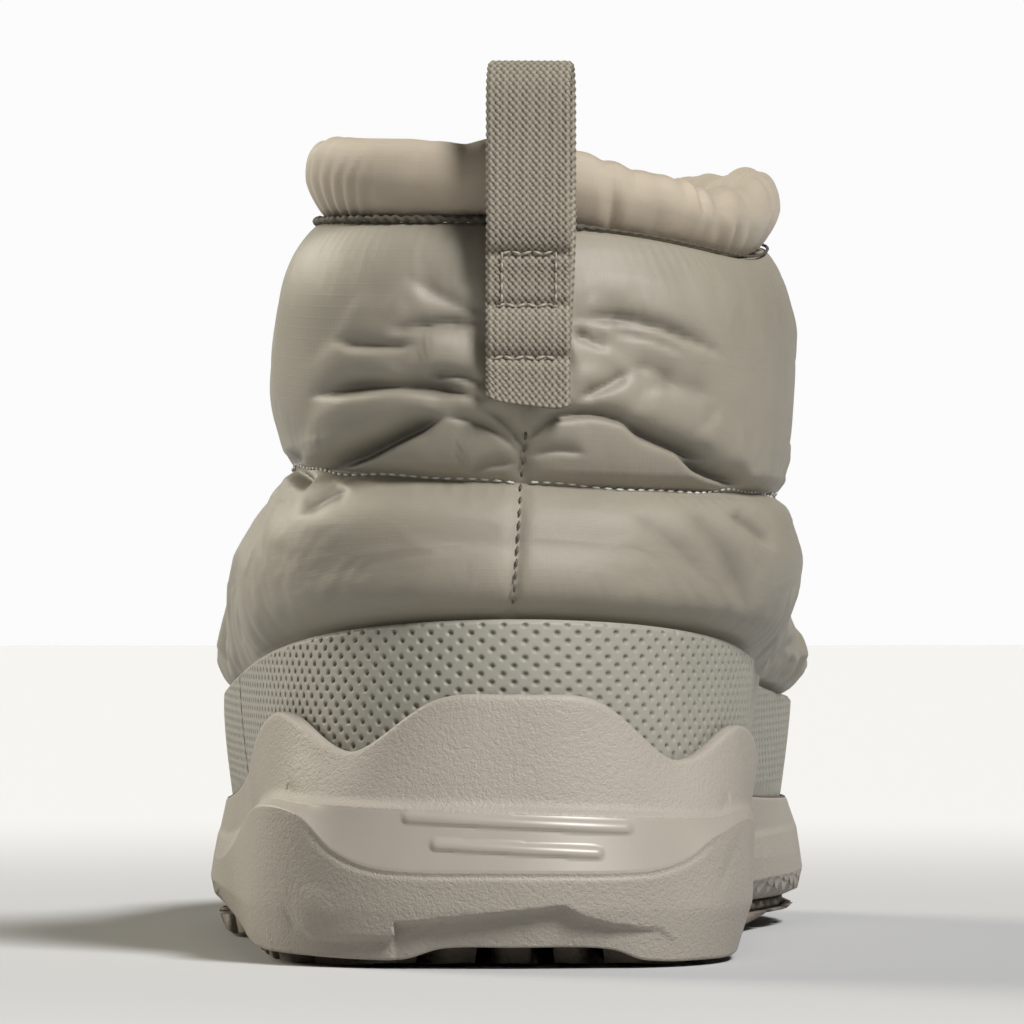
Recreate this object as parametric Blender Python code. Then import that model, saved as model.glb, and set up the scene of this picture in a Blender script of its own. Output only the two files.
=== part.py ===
"""Quilted slip-on winter boot, left foot, modelled in metres with +Z up.

The pieces are the ones a boot maker joins: a lugged tread, a foam cup sole, an insole, a padded
upper with sewn channels, a moulded heel counter, a toe rand, a gathered cuff and a webbing loop.

Lengths run from the heel's back (y = 0) to the toe tip, across from the outer side (-X, little
toe) to the inner side (+X), and the floor is z = 0. Most pieces are wrapped from a flat grid: a
column is a turn round the boot, 0 at the heel's back, 0.25 on the outer side, 0.5 at the toe and
0.75 on the inner side, and a row is a section of that piece.
"""

import math
from collections import namedtuple

import bmesh
import bpy
from mathutils import Vector

# Driving sizes
SOLE_LENGTH = 0.302
SOLE_AXIS_SHIFT = 0.0050
OUTER_FLARE_END = 0.68
INNER_FLARE, INNER_FLARE_END = 0.42, 0.74
TURNS = 64
SOLE_TURNS = 96
FIT_GAP = 0.0003

# Sole heights
LUG_DEPTH = 0.0038
TREAD_TOP = 0.0058
TOE_SPRING = 0.011
TOE_SPRING_START = 0.205
HEEL_BEVEL = 0.0042
HEEL_BEVEL_END = 0.026
ARCH_LIFT = 0.0018
ARCH_START, ARCH_TOP, ARCH_END = 0.085, 0.120, 0.155
CHORD_EASE = 0.0003

# Tread layout
TREAD_ROWS, TREAD_COLUMNS = 15, 5
TREAD_BACK, TREAD_FRONT = 0.012, 0.292
UNDER_INSET, TREAD_INSET = 0.0025, 0.0031
TREAD_CHEVRON = 0.009
EDGE_LUG_START = 0.80
EDGE_ROLL = 0.0032
EDGE_ROLL_START, EDGE_ROLL_END = 0.62, 0.95
EDGE_ROLL_BACK, EDGE_ROLL_FRONT = 0.140, 0.180
GROOVE_HALF = 0.0020
LUG_TAPER = 0.0009

# Upper, its overlays and what stands on it
WALL_FOOT = 0.0034
WALL_COLLAR = 0.0050
OVERLAY = 0.0018
OVERLAY_THIN = 0.0010
OVERLAY_TOP_LEVEL = 0.97
COUNTER_OUTER_END, COUNTER_INNER_END = 0.203, 0.844
RAND_STEP_TURN = 0.797
CUP_RIM, CUP_RIM_FRONT = 0.0030, 0.0010
RIM_THIN_START, RIM_THIN_END = 0.14, 0.34
INSOLE_THICKNESS = 0.0050
CUFF_HALF_WIDTH = 0.0047
CUFF_SIDES = 10
COLLAR_DIP = 0.0065
COLLAR_DIP_TURN, COLLAR_DIP_REACH = 0.818, 0.115
SEAM_LEAN = 0.055

# Sewn channels of the upper
QUILT_STEPS = (0.16, 0.5, 0.84, 1.0)

# Webbing pull loop
LOOP_WIDTH = 0.0153
LOOP_CENTRE = 0.0018
LOOP_THICKNESS = 0.0016
LOOP_BOTTOM, LOOP_SPLIT, LOOP_OPEN, LOOP_TOP = 0.1020, 0.1265, 0.1420, 0.1648
LOOP_LAYER_GAP = 0.0005
LOOP_EYE = 0.0066

# One plan section: where it starts and ends along the boot, its half widths on the outer and inner
# side, how far its toe end swings inwards, the share of its length where the outer side starts to
# widen, how square its ends are, and its heights at the heel's back, at mid length and at the front.
SECTION_COLUMNS = (
    "back front heel_out heel_in ball_out ball_in swing flare heel_power toe_power z_back z_side z_front"
)
Section = namedtuple("Section", SECTION_COLUMNS)

# Upper, from the feather edge in the cup to the collar seam. The surface passes through the sewn
# seams, and the padding stands out from it.
UPPER_SECTIONS = (
    # feather edge
    Section(.0110, .2900, .0440, .0405, .0545, .0532, .008, .16, 6.0, 3.2, .0245, .0190, .0190),
    # top of the counter and rand
    Section(.0120, .2900, .0462, .0464, .0570, .0566, .008, .10, 4.0, 3.0, .0640, .0500, .0440),
    # toe seam
    Section(.0155, .2640, .0462, .0484, .0504, .0528, .009, .14, 4.2, 2.5, .0765, .0670, .0600),
    # main seam
    Section(.0170, .2080, .0425, .0480, .0450, .0470, .010, .30, 3.6, 2.2, .0880, .0890, .0840),
    # instep seam
    Section(.0175, .1620, .0412, .0434, .0415, .0416, .011, .30, 3.2, 2.2, .1040, .1080, .1095),
    # collar seam
    Section(.0180, .1250, .0398, .0432, .0388, .0418, .012, .30, 2.8, 2.2, .1355, .1365, .1335),
)
FEATHER, RAND_TOP, TOE_SEAM, MAIN_SEAM, INSTEP_SEAM, COLLAR_SEAM = range(len(UPPER_SECTIONS))

# Padding of each sewn channel: its depth at the heel and at the front of the boot, and how full it is
# next to its lower and upper seam. A seam across the front splits each channel in two.
Channel = namedtuple("Channel", "low high depth_heel depth_front low_fullness high_fullness")
CHANNELS = (
    Channel(RAND_TOP, MAIN_SEAM, 0.0072, 0.0060, 5.0, 3.0),
    Channel(MAIN_SEAM, COLLAR_SEAM, 0.0072, 0.0066, 3.6, 3.6),
)
SPLIT_SEAM_START, SPLIT_SEAM_FULL = 0.45, 0.75

# Plan sections of the cup sole's side, from the tread upwards. The heights at the heel's back, at mid
# length and at the toe are those of the widest line, and the other lines have a table of their own.
CUP_SECTIONS = (
    # lower edge
    Section(.0036, .2960, .0498, .0428, .0612, .0604, .008, .14, 8.0, 3.2, .0108, .0105, .0130),
    # widest line
    Section(.0012, .3020, .0506, .0454, .0620, .0616, .008, .14, 8.0, 3.2, .0108, .0105, .0130),
    # lower edge of the smooth band
    Section(.0000, .3016, .0504, .0458, .0614, .0610, .008, .14, 8.0, 3.2, .0108, .0105, .0130),
    # ledge over the smooth band
    Section(.0030, .2995, .0486, .0456, .0606, .0602, .008, .14, 8.0, 3.2, .0108, .0105, .0130),
    # foot of the scoop over the ledge
    Section(.0048, .2985, .0478, .0451, .0601, .0597, .008, .14, 8.0, 3.2, .0108, .0105, .0130),
)
LOWER_EDGE, WIDEST_LINE, BAND_EDGE, LEDGE, SCOOP_FOOT = range(len(CUP_SECTIONS))

# Heights round the cup sole, as (turn from the heel's back, outer side, inner side).
EdgeRow = namedtuple("EdgeRow", "turn outer inner")
CUP_TOP_EDGE = (
    EdgeRow(0.000, 0.0478, 0.0478),
    EdgeRow(0.030, 0.0468, 0.0466),
    EdgeRow(0.064, 0.0378, 0.0366),
    EdgeRow(0.112, 0.0441, 0.0420),
    EdgeRow(0.165, 0.0345, 0.0335),
    EdgeRow(0.260, 0.0270, 0.0270),
    EdgeRow(0.380, 0.0260, 0.0260),
    EdgeRow(0.500, 0.0310, 0.0310),
)
CUP_LOWER_EDGE = (
    EdgeRow(0.000, 0.0036, 0.0036),
    EdgeRow(0.022, 0.0034, 0.0036),
    EdgeRow(0.034, 0.0013, 0.0030),
    EdgeRow(0.046, 0.0011, 0.0010),
    EdgeRow(0.075, 0.0016, 0.0006),
    EdgeRow(0.120, 0.0024, 0.0010),
    EdgeRow(0.180, 0.0050, 0.0054),
    EdgeRow(0.260, 0.0074, 0.0076),
    EdgeRow(0.380, 0.0054, 0.0058),
    EdgeRow(0.500, 0.0062, 0.0062),
)

BAND_LOWER_EDGE = (
    EdgeRow(0.000, 0.0174, 0.0174),
    EdgeRow(0.042, 0.0180, 0.0176),
    EdgeRow(0.060, 0.0212, 0.0196),
    EdgeRow(0.078, 0.0278, 0.0238),
    EdgeRow(0.110, 0.0288, 0.0264),
    EdgeRow(0.160, 0.0240, 0.0234),
    EdgeRow(0.250, 0.0150, 0.0150),
    EdgeRow(0.500, 0.0180, 0.0180),
)
LEDGE_EDGE = (
    EdgeRow(0.000, 0.0285, 0.0285),
    EdgeRow(0.050, 0.0293, 0.0274),
    EdgeRow(0.078, 0.0297, 0.0270),
    EdgeRow(0.110, 0.0302, 0.0280),
    EdgeRow(0.160, 0.0254, 0.0248),
    EdgeRow(0.250, 0.0190, 0.0190),
    EdgeRow(0.500, 0.0240, 0.0240),
)
SCOOP_STEP = 0.0013
CUP_EDGES = {
    LOWER_EDGE: CUP_LOWER_EDGE,
    BAND_EDGE: BAND_LOWER_EDGE,
    LEDGE: LEDGE_EDGE,
    SCOOP_FOOT: LEDGE_EDGE,
}

# Raised ribs across the back of the smooth band: where each lies between the band's edges, its half
# length, its half width as a share of the band, and how far it stands out.
Rib = namedtuple("Rib", "share half_length half_share rise")
RIBS = (Rib(0.42, 0.0145, 0.14, 0.0010), Rib(0.82, 0.0200, 0.15, 0.0011))
RIB_TAPER = 0.0035

# Height of the gathered cuff above the collar seam.
CUFF_HEIGHT = (
    EdgeRow(0.000, 0.0146, 0.0146),
    EdgeRow(0.050, 0.0150, 0.0134),
    EdgeRow(0.090, 0.0150, 0.0126),
    EdgeRow(0.135, 0.0151, 0.0117),
    EdgeRow(0.195, 0.0152, 0.0142),
    EdgeRow(0.260, 0.0150, 0.0150),
    EdgeRow(0.350, 0.0140, 0.0140),
    EdgeRow(0.500, 0.0135, 0.0135),
)

Finish = namedtuple("Finish", "colour roughness")
FINISHES = {
    "nylon": Finish((0.27, 0.25, 0.21), 0.38),
    "cuff_nylon": Finish((0.44, 0.38, 0.30), 0.50),
    "moulded_film": Finish((0.30, 0.30, 0.25), 0.55),
    "foam": Finish((0.36, 0.32, 0.27), 0.60),
    "tread_rubber": Finish((0.20, 0.18, 0.15), 0.70),
    "webbing": Finish((0.22, 0.20, 0.16), 0.85),
    "insole_cloth": Finish((0.30, 0.27, 0.22), 0.90),
}


def blend(first, second, share):
    return first + (second - first) * share


def ease(value, start, end):
    """Smooth step from 0 at start to 1 at end."""
    share = min(max((value - start) / (end - start), 0.0), 1.0)
    return share * share * (3 - 2 * share)


def curve_through(places, values, place):
    """A smooth curve through the values at rising places, read at one place."""
    last = len(places) - 1
    low = max(k for k in range(last) if places[k] <= max(place, places[0]))

    def slope(k):
        before, after = max(k - 1, 0), min(k + 1, last)
        return (values[after] - values[before]) / (places[after] - places[before])

    span = places[low + 1] - places[low]
    share = (place - places[low]) / span
    rest = 1 - share
    return (
        values[low] * rest * rest * (1 + 2 * share)
        + values[low + 1] * share * share * (1 + 2 * rest)
        + slope(low) * span * share * rest * rest
        - slope(low + 1) * span * share * share * rest
    )


def on_outer_side(turn):
    return turn % 1.0 <= 0.5


def turn_from_heel(turn):
    """The turn folded to one side: 0 at the heel's back, 0.5 at the toe."""
    return min(turn % 1.0, 1.0 - turn % 1.0)


def edge_height(rows, turn):
    """Height from a table of EdgeRow at one turn."""
    values = [row.outer if on_outer_side(turn) else row.inner for row in rows]
    return curve_through([row.turn for row in rows], values, turn_from_heel(turn))


def station(turn):
    """Share of the length: 0 at the heel's back, 1 at the toe."""
    return (1 - math.cos(math.tau * turn)) / 2


def half_width(section, share, outer):
    """Half width of a plan section at a share of its length."""
    heel, ball = (section.heel_out, section.ball_out) if outer else (section.heel_in, section.ball_in)
    power = section.heel_power if share < 0.5 else section.toe_power
    fullness = math.sqrt(max(1 - abs(2 * share - 1) ** power, 0.0))
    flare = (section.flare, OUTER_FLARE_END) if outer else (INNER_FLARE, INNER_FLARE_END)
    return blend(heel, ball, ease(share, *flare)) * fullness


def ring_point(section, turn, height=None):
    """The point of a plan section at one turn, at the section's own height unless one is given."""
    share = station(turn)
    outer = on_outer_side(turn)
    across = half_width(section, share, outer) * (-1 if outer else 1)
    x = across + section.swing * ease(share, 0.0, 1.0)
    y = blend(section.back, section.front, share)
    if height is None:
        height = (
            section.z_back * (1 - share) * (1 - 2 * share)
            + section.z_side * 4 * share * (1 - share)
            + section.z_front * share * (2 * share - 1)
        )
    return Vector((x, y, height + toe_spring(y)))


def inset(section, distance):
    """The same plan section drawn in by a distance all round."""
    return section._replace(
        back=section.back + distance,
        front=section.front - distance,
        heel_out=section.heel_out - distance,
        heel_in=section.heel_in - distance,
        ball_out=section.ball_out - distance,
        ball_in=section.ball_in - distance,
    )


TREAD_OUTLINE = inset(CUP_SECTIONS[0], TREAD_INSET)


def toe_spring(y):
    """How far the sole rises off the floor towards the toe."""
    return TOE_SPRING * (max(y - TOE_SPRING_START, 0.0) / (SOLE_LENGTH - TOE_SPRING_START)) ** 2


def ground_lift(y):
    """How far the tread clears the floor: at the heel's bevel, the arch and the toe."""
    bevel = HEEL_BEVEL * (max(HEEL_BEVEL_END - y, 0.0) / HEEL_BEVEL_END) ** 2
    arch = ARCH_LIFT * ease(y, ARCH_START, ARCH_TOP) * (1 - ease(y, ARCH_TOP, ARCH_END))
    return bevel + arch + toe_spring(y)


def upper_section(level):
    """The upper's plan section at a level between the rows of its table."""
    places = list(range(len(UPPER_SECTIONS)))
    columns = zip(*UPPER_SECTIONS)
    return Section(*(curve_through(places, column, level) for column in columns))


def collar_dip(level, turn):
    """The slack collar sinks at the back of the inner side."""
    away = (turn % 1.0 - COLLAR_DIP_TURN) / COLLAR_DIP_REACH
    return COLLAR_DIP * math.exp(-away * away) * ease(level, MAIN_SEAM, COLLAR_SEAM)


def seam_lean(level, x):
    """The main seam sits lower on the inner side than on the outer side."""
    nearness = ease(level, RAND_TOP, MAIN_SEAM) * (1 - ease(level, MAIN_SEAM, COLLAR_SEAM))
    return SEAM_LEAN * x * nearness


def seam_surface(level, turn):
    """The upper's surface through its seams, before the padding swells."""
    point = ring_point(upper_section(level), turn)
    point.z -= collar_dip(level, turn) + seam_lean(level, point.x)
    return point


def seam_normal(level, turn):
    """Outward direction of the seam surface."""
    step = 0.004
    along = seam_surface(level, turn + step) - seam_surface(level, turn - step)
    low, high = max(level - step, 0.0), min(level + step, COLLAR_SEAM)
    up = seam_surface(high, turn) - seam_surface(low, turn)
    return up.cross(along).normalized()


def swell(share, channel):
    """Cross section of one padded channel: 0 at its seams and 1 at its crown."""
    fullness = channel.low_fullness if share < 0.5 else channel.high_fullness
    return 1 - abs(2 * share - 1) ** fullness


def height_share(channel, level, turn):
    """How far up a channel a level lies: 0 at its lower seam and 1 at its upper seam."""
    low, here, high = (seam_surface(at, turn).z for at in (channel.low, level, channel.high))
    return min(max((here - low) / (high - low), 0.0), 1.0)


def padding(level, turn):
    """How far the padding stands out of the seam surface."""
    share = station(turn)
    for channel in CHANNELS:
        if not channel.low <= level <= channel.high:
            continue
        depth = blend(channel.depth_heel, channel.depth_front, share)
        whole = swell(height_share(channel, level, turn), channel)
        halved = swell(level % 1.0, channel)
        return depth * blend(whole, halved, ease(share, SPLIT_SEAM_START, SPLIT_SEAM_FULL))
    return 0.0


def upper_skin(level, turn, stand_off=0.0):
    """Outer face of the upper, or a face that stands off it."""
    return seam_surface(level, turn) + seam_normal(level, turn) * (padding(level, turn) + stand_off)


def upper_lining(level, turn, clearance=0.0):
    """Inner face of the upper, or a face that clears it on the inside."""
    wall = blend(WALL_FOOT, WALL_COLLAR, level / COLLAR_SEAM)
    return seam_surface(level, turn) - seam_normal(level, turn) * (wall + clearance)


def finish_material(name):
    """A Principled material with the finish of that name."""
    if name in bpy.data.materials:
        return bpy.data.materials[name]
    material = bpy.data.materials.new(name)
    material.use_nodes = True
    shader = material.node_tree.nodes["Principled BSDF"]
    shader.inputs["Base Color"].default_value = (*FINISHES[name].colour, 1.0)
    shader.inputs["Roughness"].default_value = FINISHES[name].roughness
    shader.inputs["Metallic"].default_value = 0.0
    return material


def add_piece(name, shape, finish, boot):
    """Turns a finished bmesh into the named object, with its faces pointing out."""
    bmesh.ops.recalc_face_normals(shape, faces=shape.faces)
    mesh = bpy.data.meshes.new(name)
    shape.to_mesh(mesh)
    shape.free()
    mesh.shade_smooth()
    mesh.set_sharp_from_angle(angle=math.radians(40))
    mesh.materials.append(finish_material(finish))
    piece = bpy.data.objects.new(name, mesh)
    bpy.context.scene.collection.objects.link(piece)
    piece.parent = boot
    return piece


def wrapped_grid(columns, rows, point_at):
    """A flat grid whose corner (column, row) is carried to point_at(column, row)."""
    shape = bmesh.new()
    bmesh.ops.create_grid(shape, x_segments=columns, y_segments=rows, size=1.0)
    for vertex in shape.verts:
        column = round((vertex.co.x + 1) / 2 * columns)
        row = round((vertex.co.y + 1) / 2 * rows)
        vertex.co = point_at(column, row)
    return shape


def weld(shape, distance=1e-6):
    """Joins the grid's edges where they meet."""
    bmesh.ops.remove_doubles(shape, verts=shape.verts, dist=distance)
    bmesh.ops.dissolve_degenerate(shape, edges=shape.edges, dist=distance)


def wrapped_rings(rings, turns):
    """A closed body from rings, each a function of the turn, the last one joining the first."""

    def point_at(column, row):
        return rings[row % len(rings)]((column % turns) / turns)

    shape = wrapped_grid(turns, len(rings), point_at)
    weld(shape)
    return shape


def capped_rings(rings, turns):
    """A closed body from rings whose first and last ring are flat outlines, filled across."""

    def point_at(column, row):
        return rings[row]((column % turns) / turns)

    shape = wrapped_grid(turns, len(rings) - 1, point_at)
    weld(shape)
    fill_across(shape)
    return shape


def fill_across(shape):
    """Closes each open outline with strips from its outer to its inner side."""
    open_edges = [edge for edge in shape.edges if edge.is_boundary]
    while open_edges:
        loop = follow_loop(open_edges)
        heel = min(range(len(loop)), key=lambda k: loop[k].co.y)
        loop = loop[heel:] + loop[:heel]
        ahead, behind = 1, len(loop) - 1
        shape.faces.new((loop[0], loop[ahead], loop[behind]))
        while behind - ahead > 2:
            shape.faces.new((loop[ahead], loop[ahead + 1], loop[behind - 1], loop[behind]))
            ahead, behind = ahead + 1, behind - 1
        shape.faces.new(loop[ahead:behind + 1])
        open_edges = [edge for edge in shape.edges if edge.is_boundary]


def follow_loop(open_edges):
    """The vertices of one open outline, in order."""
    loop = [open_edges[0].verts[0], open_edges[0].verts[1]]
    while True:
        ahead = [
            edge.other_vert(loop[-1])
            for edge in loop[-1].link_edges
            if edge.is_boundary and edge.other_vert(loop[-1]) is not loop[-2]
        ]
        if ahead[0] is loop[0]:
            return loop
        loop.append(ahead[0])


def quilt_levels():
    """Levels of the upper's outer rows: straight up the counter, then over each channel."""
    levels = [0.0, 0.35, 0.7, 1.0]
    for seam in range(RAND_TOP, COLLAR_SEAM):
        levels += [seam + step for step in QUILT_STEPS]
    return levels


def make_upper(boot):
    """Hollow padded wall, open at the collar and under the foot."""
    outside = [lambda turn, level=level: upper_skin(level, turn) for level in quilt_levels()]
    inner_levels = (5.0, 4.5, 4.0, 3.0, 2.0, 1.0, 0.5, 0.0)
    inside = [lambda turn, level=level: upper_lining(level, turn) for level in inner_levels]
    add_piece("upper", wrapped_rings(outside + inside, TURNS), "nylon", boot)


def overlay_thickness(turn, stepped):
    """Thickness of an overlay, thinner on the short inner stretch next to the counter."""
    thin = stepped and turn > RAND_STEP_TURN
    return OVERLAY_THIN if thin else OVERLAY


def overlay_band(first_turn, last_turn, stepped=False):
    """A band of the upper's own surface, standing off it, between two turns."""
    first, last = round(first_turn * TURNS), round(last_turn * TURNS)
    turns = [column / TURNS for column in range(first, last + 1)]
    trim = FIT_GAP / SOLE_LENGTH
    turns[0], turns[-1] = turns[0] + trim, turns[-1] - trim
    if stepped:
        turns += [RAND_STEP_TURN, RAND_STEP_TURN + trim]
        turns.sort()
    outer_levels = (0.02, 0.35, 0.7, OVERLAY_TOP_LEVEL)
    rows = [(level, True) for level in outer_levels] + [(level, False) for level in outer_levels[::-1]]

    def point_at(column, row):
        level, outer = rows[row % len(rows)]
        turn = turns[column]
        stand_off = FIT_GAP + (overlay_thickness(turn, stepped) if outer else 0.0)
        return upper_skin(level, turn, stand_off)

    shape = wrapped_grid(len(turns) - 1, len(rows), point_at)
    weld(shape)
    bmesh.ops.holes_fill(shape, edges=[edge for edge in shape.edges if edge.is_boundary])
    return shape


def make_overlays(boot):
    """Heel counter round the back, and the rand from its ends round the toe."""
    counter = overlay_band(COUNTER_INNER_END - 1.0, COUNTER_OUTER_END)
    add_piece("heel_counter", counter, "moulded_film", boot)
    rand = overlay_band(COUNTER_OUTER_END, COUNTER_INNER_END, stepped=True)
    add_piece("toe_rand", rand, "moulded_film", boot)


def cup_top_level(turn):
    """The upper's level at the cup sole's top edge."""
    foot = seam_surface(FEATHER, turn).z
    top = seam_surface(RAND_TOP, turn).z
    height = edge_height(CUP_TOP_EDGE, turn) + toe_spring(seam_surface(RAND_TOP, turn).y)
    return (height - foot) / (top - foot)


def cup_inner_wall(turn, share, rim=0.0):
    """Inside of the cup, from its top edge (share 1) down to the footbed (share 0)."""
    stand_off = OVERLAY + 2 * FIT_GAP + rim
    return upper_skin(cup_top_level(turn) * share, turn, stand_off)


def cup_rim(turn):
    """Thickness of the cup's top edge: full round the heel, thin along the sides and round the toe."""
    return blend(CUP_RIM, CUP_RIM_FRONT, ease(station(turn), RIM_THIN_START, RIM_THIN_END))


def cup_side(row, turn):
    """One line of the cup's side."""
    height = None
    if row in CUP_EDGES:
        height = edge_height(CUP_EDGES[row], turn) + (SCOOP_STEP if row == SCOOP_FOOT else 0.0)
    return ring_point(CUP_SECTIONS[row], turn, height)


def smooth_band(rib, side, turn):
    """The smooth band along a rib: side -1 is its lower edge, 0 its crest and 1 its upper edge."""
    low, high = cup_side(BAND_EDGE, turn), cup_side(LEDGE, turn)
    point = low.lerp(high, rib.share + side * rib.half_share)
    if side == 0 and station(turn) < 0.5:
        length = abs(point.x)
        point.y -= rib.rise * (1 - ease(length, rib.half_length - RIB_TAPER, rib.half_length))
    return point


def cup_scoop(share, turn):
    """The hollow between the foot of the scoop and the cup's top edge."""
    low, high = cup_side(SCOOP_FOOT, turn), cup_inner_wall(turn, 1.0, cup_rim(turn))
    return low.lerp(high, share)


def under_point(turn):
    """Outline of the cup sole's underside over the tread."""
    point = ring_point(inset(CUP_SECTIONS[0], UNDER_INSET), turn, 0.0)
    point.z = TREAD_TOP + FIT_GAP + ground_lift(point.y)
    return point


def make_midsole(boot):
    """Foam cup sole: underside, flared side with its steps and ribs, rim, inner wall, footbed."""
    rings = [under_point]
    rings += [lambda turn, row=row: cup_side(row, turn) for row in (LOWER_EDGE, WIDEST_LINE, BAND_EDGE)]
    for rib in RIBS:
        rings += [lambda turn, rib=rib, side=side: smooth_band(rib, side, turn) for side in (-1, 0, 1)]
    rings += [lambda turn, row=row: cup_side(row, turn) for row in (LEDGE, SCOOP_FOOT)]
    rings += [lambda turn, share=share: cup_scoop(share, turn) for share in (0.35, 0.75, 1.0)]
    rings += [lambda turn, share=share: cup_inner_wall(turn, share) for share in (1.0, 0.5, 0.0)]
    rings[-1] = lambda turn: cup_inner_wall(turn, 0.0) - Vector((0, 0, FIT_GAP))
    add_piece("midsole", capped_rings(rings, SOLE_TURNS), "foam", boot)


def make_insole(boot):
    """Flat sock liner lying on the footbed, inside the upper."""
    low_level, high_level = 0.02, 0.02 + INSOLE_THICKNESS / 0.0350
    clear = 2 * FIT_GAP
    rings = [
        lambda turn: upper_lining(low_level, turn, clear + INSOLE_THICKNESS / 4),
        lambda turn: upper_lining(blend(low_level, high_level, 0.3), turn, clear),
        lambda turn: upper_lining(blend(low_level, high_level, 0.8), turn, clear),
        lambda turn: upper_lining(high_level, turn, clear + INSOLE_THICKNESS / 4),
    ]
    add_piece("insole", capped_rings(rings, TURNS), "insole_cloth", boot)


def tread_point(across, share):
    """A point of the tread's underside: across from -1 (outer) to 1 (inner), share along it."""
    spread = 1 - abs(2 * share - 1) ** 6
    y = blend(TREAD_BACK, TREAD_FRONT, share) - TREAD_CHEVRON * (abs(across) - 0.5) * spread
    x = tread_middle(y) + across * tread_reach(y, across < 0)
    return Vector((x, y, LUG_DEPTH + ground_lift(y)))


def tread_share(y):
    """Share of the tread outline's length at one place along the boot."""
    return (y - TREAD_OUTLINE.back) / (TREAD_OUTLINE.front - TREAD_OUTLINE.back)


def tread_middle(y):
    """Centre line of the tread."""
    return TREAD_OUTLINE.swing * ease(tread_share(y), 0.0, 1.0)


def tread_reach(y, outer):
    """Half width of the tread on one side."""
    return half_width(TREAD_OUTLINE, tread_share(y), outer)


def tread_across(point):
    """Where a point lies across the tread: -1 at its outer edge, 1 at its inner edge."""
    across = point.x - tread_middle(point.y)
    return across / max(tread_reach(point.y, across < 0), GROOVE_HALF)


def edge_roll(point):
    """How far the lugs along the forefoot's edges are lifted off the floor."""
    lift = ease(abs(tread_across(point)), EDGE_ROLL_START, EDGE_ROLL_END)
    return EDGE_ROLL * lift * ease(point.y, EDGE_ROLL_BACK, EDGE_ROLL_FRONT)


def make_outsole(boot):
    """Rubber tread: a thin plate with a lug standing down from every cell of its grid."""

    def point_at(column, row):
        return tread_point(2 * column / TREAD_COLUMNS - 1, row / TREAD_ROWS)

    shape = wrapped_grid(TREAD_COLUMNS, TREAD_ROWS, point_at)
    lugs = list(shape.faces)
    plate = bmesh.ops.extrude_face_region(shape, geom=lugs, use_keep_orig=True)["geom"]
    for vertex in (item for item in plate if isinstance(item, bmesh.types.BMVert)):
        vertex.co.z = TREAD_TOP - CHORD_EASE + ground_lift(vertex.co.y)
    bmesh.ops.inset_individual(shape, faces=lugs, thickness=GROOVE_HALF, use_even_offset=True)
    for vertex in {corner for lug in lugs for corner in lug.verts}:
        across = tread_across(vertex.co)
        if abs(across) > EDGE_LUG_START:
            vertex.co.x += math.copysign(GROOVE_HALF - FIT_GAP, across)
    for lug in bmesh.ops.extrude_discrete_faces(shape, faces=lugs)["faces"]:
        centre = lug.calc_center_median()
        for vertex in lug.verts:
            drawn_in = (centre - vertex.co).normalized() * LUG_TAPER
            vertex.co += Vector((drawn_in.x, drawn_in.y, 0.0))
            vertex.co.z = ground_lift(vertex.co.y) + edge_roll(vertex.co)
    add_piece("outsole", shape, "tread_rubber", boot)


def cuff_point(turn, angle):
    """Oval section of the gathered cuff, standing on the collar seam."""
    seat = seam_surface(COLLAR_SEAM, turn)
    outward = seam_normal(COLLAR_SEAM, turn)
    outward.z = 0.0
    outward.normalize()
    half_height = edge_height(CUFF_HEIGHT, turn) / 2
    out = CUFF_HALF_WIDTH * math.cos(angle) - WALL_COLLAR / 2
    up = FIT_GAP + half_height * (1 + math.sin(angle))
    return seat + outward * out + Vector((0, 0, up))


def make_cuff(boot):
    """Gathered elastic cuff round the collar."""
    angles = [math.tau * side / CUFF_SIDES for side in range(CUFF_SIDES)]
    rings = [lambda turn, angle=angle: cuff_point(turn, angle) for angle in angles]
    add_piece("collar_cuff", wrapped_rings(rings, TURNS), "cuff_nylon", boot)


def loop_layer_y(z):
    """Back face of the upper behind the webbing, drawn on straight above the channel's crown."""
    level = blend(MAIN_SEAM, COLLAR_SEAM, 0.46)
    crown = upper_skin(level, 0.0)
    lean = 0.05
    return crown.y - FIT_GAP - 0.0006 + lean * max(z - crown.z, 0.0)


def loop_path():
    """Centre line of the webbing: up the outer layer, over the top, down the inner layer."""
    heights = [LOOP_BOTTOM, 0.110, 0.118, LOOP_SPLIT, 0.134, LOOP_OPEN, 0.150, 0.1575]
    inner, outer = [], []
    for z in heights:
        gap = blend(LOOP_LAYER_GAP, LOOP_EYE, ease(z, LOOP_SPLIT, LOOP_OPEN))
        back = loop_layer_y(z) - LOOP_THICKNESS / 2 + gap * ease(z, LOOP_SPLIT, LOOP_OPEN) * 0.55
        inner.append(Vector((LOOP_CENTRE, back, z)))
        outer.append(Vector((LOOP_CENTRE, back - LOOP_THICKNESS - gap, z)))
    middle = (inner[-1] + outer[-1]) / 2
    radius = (inner[-1].y - outer[-1].y) / 2
    rise = LOOP_TOP - LOOP_THICKNESS / 2 - heights[-1]
    fold = []
    for step in range(1, 6):
        angle = math.pi * step / 6
        fold.append(middle + Vector((0, -radius * math.cos(angle), rise * math.sin(angle))))
    return outer + fold + inner[::-1]


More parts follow.
